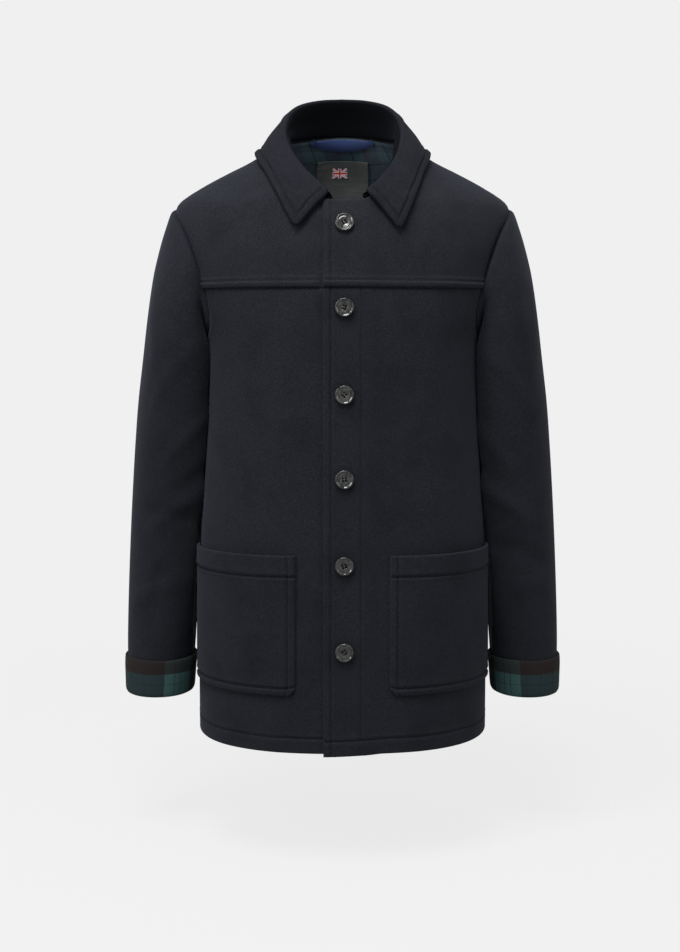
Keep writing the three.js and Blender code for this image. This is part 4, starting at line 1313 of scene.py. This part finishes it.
def cuff(side, word):
    """Turned back over the sleeve's end: up the outside and a little way up the inside."""
    near, clear = SEAM_GAP + 0.3, -SEAM_GAP - 1 - CLOTH

    def run(step, z, *moves):
        return [(step + a, z + b) for a, b in moves]

    section = [
        *run(near, CUFF_TOP, (0, -0.6), (0.7, 0.3)),
        *run(CUFF_OUTSIDE, CUFF_TOP, (-0.7, 0.4), (0.1, -0.6), (0.5, -4)),
        *run(CUFF_OUTSIDE + 0.9, CUFF_TOP, (0, -12), (0, -24), (0, -36)),
        *run(CUFF_OUTSIDE, CUFF_BOTTOM, (0.8, 6), (0.4, 3), (-0.7, 0.8), (-2.2, 0)),
        *run(-1.4, CUFF_BOTTOM, (0, -0.1)),
        *run(CUFF_INSIDE, CUFF_BOTTOM, (2.0, 0.2), (0.5, 1.6), (0, 4), (0, 10), (0, 16)),
        *run(clear, CUFF_BOTTOM, (0, 16)),
        *run(clear, SLEEVE_END, (0, 3), (0, -SEAM_GAP)),
        *run(near, SLEEVE_END, (0, -SEAM_GAP), (0, 6), (0, 18), (0, 30)),
        *run(near, CUFF_TOP, (0, -4)),
    ]
    turn = np.linspace(0, 2 * HALF_TURN, ROUND + 1)
    above, below = sleeve_rings(side, turn)[-2:]
    across = np.roll(below[:-1], -1, axis=0) - np.roll(below[:-1], 1, axis=0)
    out = unit(np.cross(across, np.array([0, 0, 1.0])))
    out = out if out[0, 0] * side > 0 else -out
    out = np.concatenate([out, out[:1]])
    wave = 0.5 * np.sin(3 * turn + 0.7 * side) + 0.3 * np.sin(5 * turn - side)
    rows = []
    for step, z in [*section, section[0]]:
        t = ((z - below[:, 2]) / (above[:, 2] - below[:, 2]))[:, None]
        shift = step + (wave * 0.6 if step > 1 else 0) * ease(z, CUFF_BOTTOM, CUFF_TOP)
        point = lerp(below, above, t) + out * np.broadcast_to(shift, turn.shape)[:, None]
        point[:, 2] = z + (wave * 0.8 if z > CUFF_TOP - 5 else 0)
        rows.append(point)
    grid = np.array(rows)
    around, down = np.meshgrid(run_along(grid[CUFF_FACE_ROW]), CUFF_TOP - grid[..., 2].mean(1))
    bm, row, column = sheet_of(np.stack([around, down], axis=-1))
    for v in bm.verts:
        v.co = grid[v[row], v[column]] * MM
    return cloth_piece(bm, f"cuff_{word}", TARTAN, True)


# The pockets


def pocket_place(u, v):
    across, up = np.meshgrid(u * POCKET_WIDTH, v * (POCKET_TOP - POCKET_BOTTOM))
    across, up = round_corner(across, up, POCKET_CORNER)
    z = POCKET_BOTTOM + up
    inner, outer = angle_at_x(z, POCKET_INNER), angle_at_y(z, POCKET_OUTER_Y)
    return lerp(inner, outer, across / POCKET_WIDTH), z


def pocket(side, word):
    u = marks(POCKET_WIDTH, 3.4, zones=((5, 13, 1.2), (POCKET_WIDTH - 13, POCKET_WIDTH - 5, 1.2)))
    tall = POCKET_TOP - POCKET_BOTTOM
    v = marks(tall, 3.4, zones=((5, 13, 1.2), (tall - POCKET_HEM - 4, tall - POCKET_HEM + 4, 1.2)))
    place = pocket_place(u, v)
    uu, vv = u[None, :], v[:, None]
    across = np.sin(HALF_TURN * uu**0.85) ** 0.7
    swell = across * (0.12 * np.sin(HALF_TURN * vv) + 0.88 * vv**1.7)
    stand = SEAM_GAP + 0.5 * np.sin(HALF_TURN * uu) + POCKET_BULGE * swell
    left, right, bottom, top = distances(on_trunk(side, place, stand, draped=False))
    rim = np.minimum(np.minimum(left, right), bottom)
    hem = ease(-top, -POCKET_HEM - 1, -POCKET_HEM + 1)
    soft = folds(POCKET_FOLDS[side], uu * POCKET_WIDTH, place[1])
    soft = soft * ease(rim, 6, 40)
    out = CLOTH + 0.7 * hem - rounded(rim, 2.8) - rounded(top, 2.2) + soft
    for edge in (left, right, bottom):
        out = out + groove(edge, POCKET_STITCH, *SEWN_POCKET)
    out = out + groove(top, POCKET_HEM, 2.0, 1.35)
    outer = on_trunk(side, place, stand + out)
    inner = on_trunk(side, place, stand + rounded(top, 1.2) + soft * 0.6)
    piece = shell(f"pocket_{word}", outer, inner, MELTON)
    grids = outer, grid_normals(outer) * side
    lines = [
        line_on(*grids, left, POCKET_STITCH, first=10, last=tall - 3),
        line_on(*grids, right, POCKET_STITCH, first=10, last=tall - 3),
        line_across(*grids, bottom, POCKET_STITCH, first=10, last=POCKET_WIDTH - 8),
        line_across(*grids, top, POCKET_HEM, first=2, last=POCKET_WIDTH + 30),
    ]
    return piece, stitches(f"pocket_{word}", lines)


# The collar: a stand up from the neck seam, a rolled fold and a fall, in one turned-down piece

collar_curve = {name: curve(COLLAR, "at", name) for name in COLLAR if name != "at"}


def neck_place(side, t):
    behind, ahead = neck_back(np.minimum(2 * t, 1)), neck_front[side](np.clip(2 - 2 * t, 0, 1))
    return tuple(np.where(t <= 0.5, a, b) for a, b in zip(behind, ahead))


def bend(controls, s):
    """The centripetal curve through rows of control points (count, rows, 3), read at each s."""
    controls = np.array(controls)
    first, last = 2 * controls[0] - controls[1], 2 * controls[-1] - controls[-2]
    padded = np.concatenate([[first], controls, [last]])
    count = len(controls) - 1
    p = s * count
    i = np.minimum(np.floor(p).astype(int), count - 1)
    w = (p - i)[:, None, None]
    x0, x1, x2, x3 = (padded[i + k] for k in range(4))
    d0, d1, d2 = (
        np.maximum(((b - a) ** 2).sum(-1, keepdims=True), 1e-8) ** 0.25
        for a, b in ((x0, x1), (x1, x2), (x2, x3))
    )
    t1 = ((x1 - x0) / d0 - (x2 - x0) / (d0 + d1) + (x2 - x1) / d1) * d1
    t2 = ((x2 - x1) / d1 - (x3 - x1) / (d1 + d2) + (x3 - x2) / d2) * d1
    return (
        x1 + t1 * w + (-3 * x1 + 3 * x2 - 2 * t1 - t2) * w**2 + (2 * x1 - 2 * x2 + t1 + t2) * w**3
    )


def collar_half(side, t, s):
    """One half of the collar's middle surface: a row for each t, a column for each s."""
    place = neck_place(side, t)
    seam_at = on_trunk(side, place, -CLOTH / 2, False)
    normal = normal_on(side, place)
    along = on_trunk(side, neck_place(side, np.minimum(1, t + 0.01)), 0.0, False)
    along = along - on_trunk(side, neck_place(side, np.maximum(0, t - 0.01)), 0.0, False)
    away = unit(np.cross(along, normal))
    away = np.where(away[:, 2:] < 0, -away, away)
    middle = side * COLLAR_MIDDLE * ease(t, 0.5, 1)

    def line(kind):
        x, y, z = (collar_curve[kind + axis](t) for axis in "XYZ")
        return np.stack([side * (x + middle), y, z], axis=-1)

    fold, edge = line("fold"), line("edge")
    edge[:, 2] -= (POINT_DROP + (LEFT_POINT_DROP if side == LEFT else 0)) * ease(t, 0.84, 1)
    out = unit(fold * np.array([1, 1, 0]) - np.array([0, 5, 0]))

    def lowered(point, drop):
        return point - np.array([0, 0, 1.0]) * np.reshape(drop, (-1, 1))

    start = seam_at + away * (SEAM_GAP + 1.2)
    low = start + away * 2.6
    under = np.minimum(4, 0.3 * np.linalg.norm(fold - low, axis=-1))
    controls = [
        start,
        low,
        lerp(low, fold, 0.4),
        lowered(fold - out * 2.4, under),
        fold,
        lowered(fold + out * 3.4, 3.6 + 0 * t),
        lerp(fold, edge, 0.38) + out * 4,
        lerp(fold, edge, 0.7) + out * 2.5,
        edge,
    ]
    line_points = bend(controls, s).swapaxes(0, 1)
    free = clear_of_trunk(line_points, COLLAR_CLEAR, side)
    return np.where((s > 0.6)[None, :, None], free, line_points)


def collar():
    t = marks(245, 3.4, ends=(False, True), zones=((228, 240, 1.2),))
    s = marks(118, 2.6, zones=((100, 113, 1.1),))
    halves = [collar_half(side, t, s) for side in (RIGHT, LEFT)]
    grid = np.concatenate([halves[0][:0:-1], halves[1]])
    _, edge, start, end = distances(grid)
    grid = (
        grid + corner_pull(grid, start, edge, COLLAR_CORNER, 1, -1)
        + corner_pull(grid, end, edge, COLLAR_CORNER, -1, -1)
    )
    normals = grid_normals(grid)
    if normals[len(grid) // 2, -1, 1] < 0:
        normals = -normals
    _, edge, start, end = distances(grid)
    ends = np.minimum(start, end)
    free = np.minimum(edge, np.where(s[None, :] > 0.5, ends, 1e3))
    rim = np.minimum(edge, ends)
    fall = ease(s, 0.55, 0.62)[None, :]
    half = COLLAR_HALF * (0.75 + 0.25 * fall)
    drop = rounded(rim, COLLAR_HALF)
    sewn = groove(free, COLLAR_STITCH, 2.0, 1.5) * fall
    soft = 0.5 * np.sin(np.linspace(0, 9, len(grid)))[:, None] * np.sin(HALF_TURN * s)[None, :]
    outer = grid + normals * (half - drop + sewn + soft)[..., None]
    inner = grid - normals * (half - drop - soft * 0.7)[..., None]
    ss, tt = np.meshgrid(s, np.linspace(-1, 1, len(grid)))
    piece = shell("collar", outer, inner, COLLAR_MELTON_WITH_PAINTED_SHADE, uv=np.stack([ss, tt], axis=-1) / MM)
    lines = [line_on(outer, normals, edge, COLLAR_STITCH, first=6)]
    for away in (start, end):
        lines.append(line_across(outer, normals, away, COLLAR_STITCH, first=64, last=112))
    return piece, stitches("collar", lines)


# Inside the back of the neck

INSIDE = -CLOTH - SEAM_GAP
ON_LINING = INSIDE - LINING - SEAM_GAP - 1.2


def inside_patch(name, spread, top, bottom, out, thick, material, step=2.5, widen=None):
    """A patch on the back's inner face, from one angle past the centre back to the other."""
    turn = np.linspace(-spread, spread, max(8, round(spread * 160 / step)) + 1)
    v = np.linspace(0, 1, max(4, round(50 / step)))
    tt, vv = np.meshgrid(turn, v)
    z = lerp(bottom(tt), top(tt), vv)
    side_of = np.where(turn < 0, RIGHT, LEFT)
    place = HALF_TURN - np.abs(tt) * (widen(z) if widen else 1), z
    far = on_back(place, side_of, out(tt, vv), draped=False)
    near = on_back(place, side_of, out(tt, vv) - thick, draped=False)
    return shell(name, near, far, material)


def neck_lining():
    u = np.linspace(0, 6 / 9, 40)
    v = np.linspace(1 - 4 / (SIDE_ROWS + BACK_ARM_ROWS), 1, 26)
    angle, z = back_place(u, v)
    mirror, side_of = both_sides(np.arange(len(u)))
    place = angle[:, mirror], z[:, mirror] - 1.0 * (v[:, None] == 1)
    soft = 0.35 * np.sin(place[0] * 31) * np.sin(place[1] * 0.09)
    far = on_back(place, side_of, INSIDE + 0 * soft, draped=False)
    tucked = LINING * (1 - 0.9 * ease(v[:, None], 0.97, 1.0))
    near = on_back(place, side_of, INSIDE - tucked - soft * 0.4, draped=False)
    return shell("neck_lining", near, far, LINING_CHECK)


def hanger_loop():
    def hang(turn):
        return 1 - (turn / LOOP_REACH) ** 2

    def top(turn):
        return 0.2 - 0.35 * LOOP_SAG * hang(turn)

    def bottom(turn):
        return -5.0 - 1.5 * LOOP_SAG * hang(turn) + 0.5 * (turn / LOOP_REACH) ** 6

    def out(turn, v):
        return ON_LINING - 0.6 - 1.8 * hang(turn) - 0.5 * np.sin(HALF_TURN * v)

    return inside_patch("hanger_loop", LOOP_REACH, top, bottom, out, 1.1, TAPE, 1.5)


def label():
    def out(turn, v):
        return ON_LINING + 0.25 * np.sin(turn * 19 + 1) * np.sin(v * 5)

    return inside_patch(
        "label", LABEL_REACH, lambda t: LABEL_TOP + 0 * t, lambda t: LABEL_BOTTOM + 0 * t, out,
        LABEL_THICK, LABEL, 2.0, widen=lambda z: LABEL_DEEP / trunk["back"](z),
    )


def label_flag():
    turn = np.linspace(-0.5, 0.5, 15) * FLAG_WIDE / FLAG_DEEP - FLAG_OFF
    tt, vv = np.meshgrid(turn, np.linspace(0, 1, 9))
    side_of = np.where(turn < 0, RIGHT, LEFT)
    place = HALF_TURN - np.abs(tt), lerp(FLAG_TOP - FLAG_TALL, FLAG_TOP, vv)
    out = ON_LINING - LABEL_THICK - 0.3
    near = on_back(place, side_of, out - 0.25, draped=False)
    far = on_back(place, side_of, out, draped=False)
    across = np.linspace(0, FLAG_WIDE, 15) + 0 * tt
    uv = np.stack([across, vv * FLAG_TALL], axis=-1)
    piece = shell("label_flag", near, far, FLAG, uv=uv, node=False)
    return piece


# The buttons: four holes in a dished face inside a raised rim

BUTTON_PROFILE = (
    (0, 2.55), (2.1, 2.5), (4.0, 2.6), (5.1, 2.9), (5.9, 3.35), (6.7, 3.45), (7.4, 3.2), (8.0, 3.1),
    (8.7, 3.45), (9.5, 4.05), (10.1, 4.35), (10.7, 4.2), (11.1, 3.6), (11.25, 2.8), (11.1, 2.1),
    (10.5, 1.3), (9.4, 0.5), (8.0, 0.1), (6.7, 0), (0, 0),
)
HOLE_RADIUS, HOLE_FROM_CENTRE = 1.15, 2.55


def button_shape():
    bm = bmesh.new()
    ring = [bm.verts.new((r * MM, 0, z * MM)) for r, z in BUTTON_PROFILE]
    edges = [bm.edges.new(pair) for pair in zip(ring, ring[1:])]
    bmesh.ops.spin(
        bm, geom=ring + edges, cent=(0, 0, 0), axis=(0, 0, 1), angle=2 * HALF_TURN, steps=56,
        use_merge=True,
    )
    bmesh.ops.remove_doubles(bm, verts=bm.verts[:], dist=1e-6)
    bmesh.ops.recalc_face_normals(bm, faces=bm.faces[:])
    disc = finish(bm, "button_disc", BUTTON)
    cutter = bmesh.new()
    for x, y in ((-1, -1), (1, -1), (1, 1), (-1, 1)):
        at = Vector((x, y, 0)) * (HOLE_FROM_CENTRE / math.sqrt(2) * MM)
        bmesh.ops.create_cone(
            cutter, cap_ends=True, segments=20, radius1=HOLE_RADIUS * MM, radius2=HOLE_RADIUS * MM,
            depth=20 * MM, matrix=Matrix.Translation(at),
        )
    drill = finish(cutter, "button_drill", BUTTON)
    cut = disc.modifiers.new("holes", "BOOLEAN")
    cut.operation, cut.object, cut.solver = "DIFFERENCE", drill, "EXACT"
    graph = bpy.context.evaluated_depsgraph_get()
    shaped = bpy.data.meshes.new_from_object(disc.evaluated_get(graph))
    for scrap in (disc, drill):
        bpy.data.objects.remove(scrap)
    return shaped


def buttons():
    shape = button_shape()
    for i, z in enumerate(BUTTON_HEIGHTS):
        place = np.array([angle_at_x(z, BUTTON_X)]), np.array([z])
        at = Vector(on_trunk(LEFT, place, SEAM_GAP + 0.2, False)[0]) * MM
        out = Vector(normal_on(LEFT, place)[0])
        turn = out.to_track_quat("Z", "Y").to_matrix() @ Matrix.Rotation(BUTTON_TURNS[i], 3, "Z")
        seat = Matrix.Translation(at) @ turn.to_4x4()
        mesh = shape.copy()
        mesh.transform(seat)
        piece = in_scene(f"button_{i + 1}_disc", mesh)
        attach(piece, "root")
        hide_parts(f"button_{i + 1}")
        thread = bmesh.new()
        reach = HOLE_FROM_CENTRE / math.sqrt(2)
        for x in (-1, 1):
            for strand in STRANDS:
                middle = Vector((x * reach + strand, 0, 2.75 - abs(strand) * 0.3)) * MM
                long = Matrix.Diagonal((0.27 * MM, (reach + 0.35) * MM, 0.3 * MM, 1))
                bmesh.ops.create_uvsphere(
                    thread, u_segments=8, v_segments=8, radius=1,
                    matrix=seat @ Matrix.Translation(middle) @ long,
                )
        tie = finish(thread, f"button_{i + 1}_thread", THREAD_NAVY, smooth=180)


# The stage: a pale floor, soft light and the camera


def area_light(name, at, target, size, power_w):
    lamp = bpy.data.lights.new(name, "AREA")
    lamp.shape, lamp.size, lamp.size_y, lamp.energy = "RECTANGLE", *size, power_w
    holder = in_scene(name, lamp)
    holder.location = at
    holder.rotation_euler = (Vector(target) - Vector(at)).to_track_quat("-Z", "Y").to_euler()


def stage():
    world = bpy.data.worlds.new("studio")
    scene.world = world
    world.use_nodes = True
    sky = world.node_tree.nodes["Background"]
    sky.inputs["Color"].default_value = (BACKGROUND, BACKGROUND, BACKGROUND, 1)
    sky.inputs["Strength"].default_value = 1.0
    pale = (FLOOR_TONE, FLOOR_TONE, FLOOR_TONE, 1)
    floor = Finish("floor", Base_Color=pale, Roughness=0.95, Specular_IOR_Level=0.0)
    where = floor.place()
    reach = floor.node("ShaderNodeVectorMath", {0: where}, output="Value", operation="LENGTH")
    far = floor.smooth(reach, 0.9, 1.8) * (1 - FLOOR_GLOW) + FLOOR_GLOW
    glow = floor.node("ShaderNodeEmission", {"Color": (BACKGROUND, BACKGROUND, BACKGROUND, 1)})
    blend = floor.node("ShaderNodeMixShader", {0: far})
    floor.links.new(floor.shader.outputs[0], blend.socket.node.inputs[1])
    floor.links.new(glow.socket, blend.socket.node.inputs[2])
    floor.links.new(blend.socket, floor.nodes["Material Output"].inputs["Surface"])
    bm = bmesh.new()
    bmesh.ops.create_grid(bm, x_segments=1, y_segments=1, size=FLOOR_HALF)
    bmesh.ops.translate(bm, verts=bm.verts[:], vec=(0, 0, FLOOR_Z * MM))
    in_scene("floor", mesh_of(bm, "floor", floor.material))
    for light in LIGHTS:
        area_light(*light)


def camera():
    lens = bpy.data.cameras.new("camera")
    lens.sensor_fit, lens.sensor_height = "VERTICAL", 36
    lens.lens = FOCAL_PX / PICTURE_PX * lens.sensor_height
    lens.clip_end = 200
    scene.camera = in_scene("camera", lens)
    scene.camera.location = CAMERA_AT
    scene.camera.rotation_euler = (QUARTER - math.radians(CAMERA_TILT), 0, 0)


TARTAN = tartan_finish(
    "tartan", (CHECK_DARK, CHECK_GREEN, CHECK_BROWN),
    ((-1, 7), (90, 125)), ((-1, 18), (110, 125)), ((42, 43.2), (63, 64), (103, 104), (112, 113)),
    ((18, 48), (60, 84)), ((31, 32),), 124,
)
LINING_CHECK = tartan_finish(
    "lining", ((0.037, 0.048, 0.062), (0.036, 0.069, 0.080), (0.025, 0.031, 0.044)),
    ((10, 40),), ((22, 34),), ((24, 26),), ((8, 40),), ((2, 4), (30, 31.5)), 52,
)
TAPE = tape_finish()
LABEL = label_finish()
FLAG = flag_finish()
BUTTON = button_finish()


for side, word in SIDES:
    for cut, make in (("front", front), ("front_yoke", yoke), ("pocket", pocket)):
        piece, sewn = make(side, word)
    sleeve(side, word)
    cuff(side, word)
for cut, make in (("back", back), ("collar", collar)):
    piece, sewn = make()
for cut, make in (
    ("neck_lining", neck_lining), ("hanger_loop", hanger_loop), ("label", label),
    ("label_flag", label_flag),
):
    make()
buttons()
stage()
camera()
scene.view_settings.view_transform = "Standard"
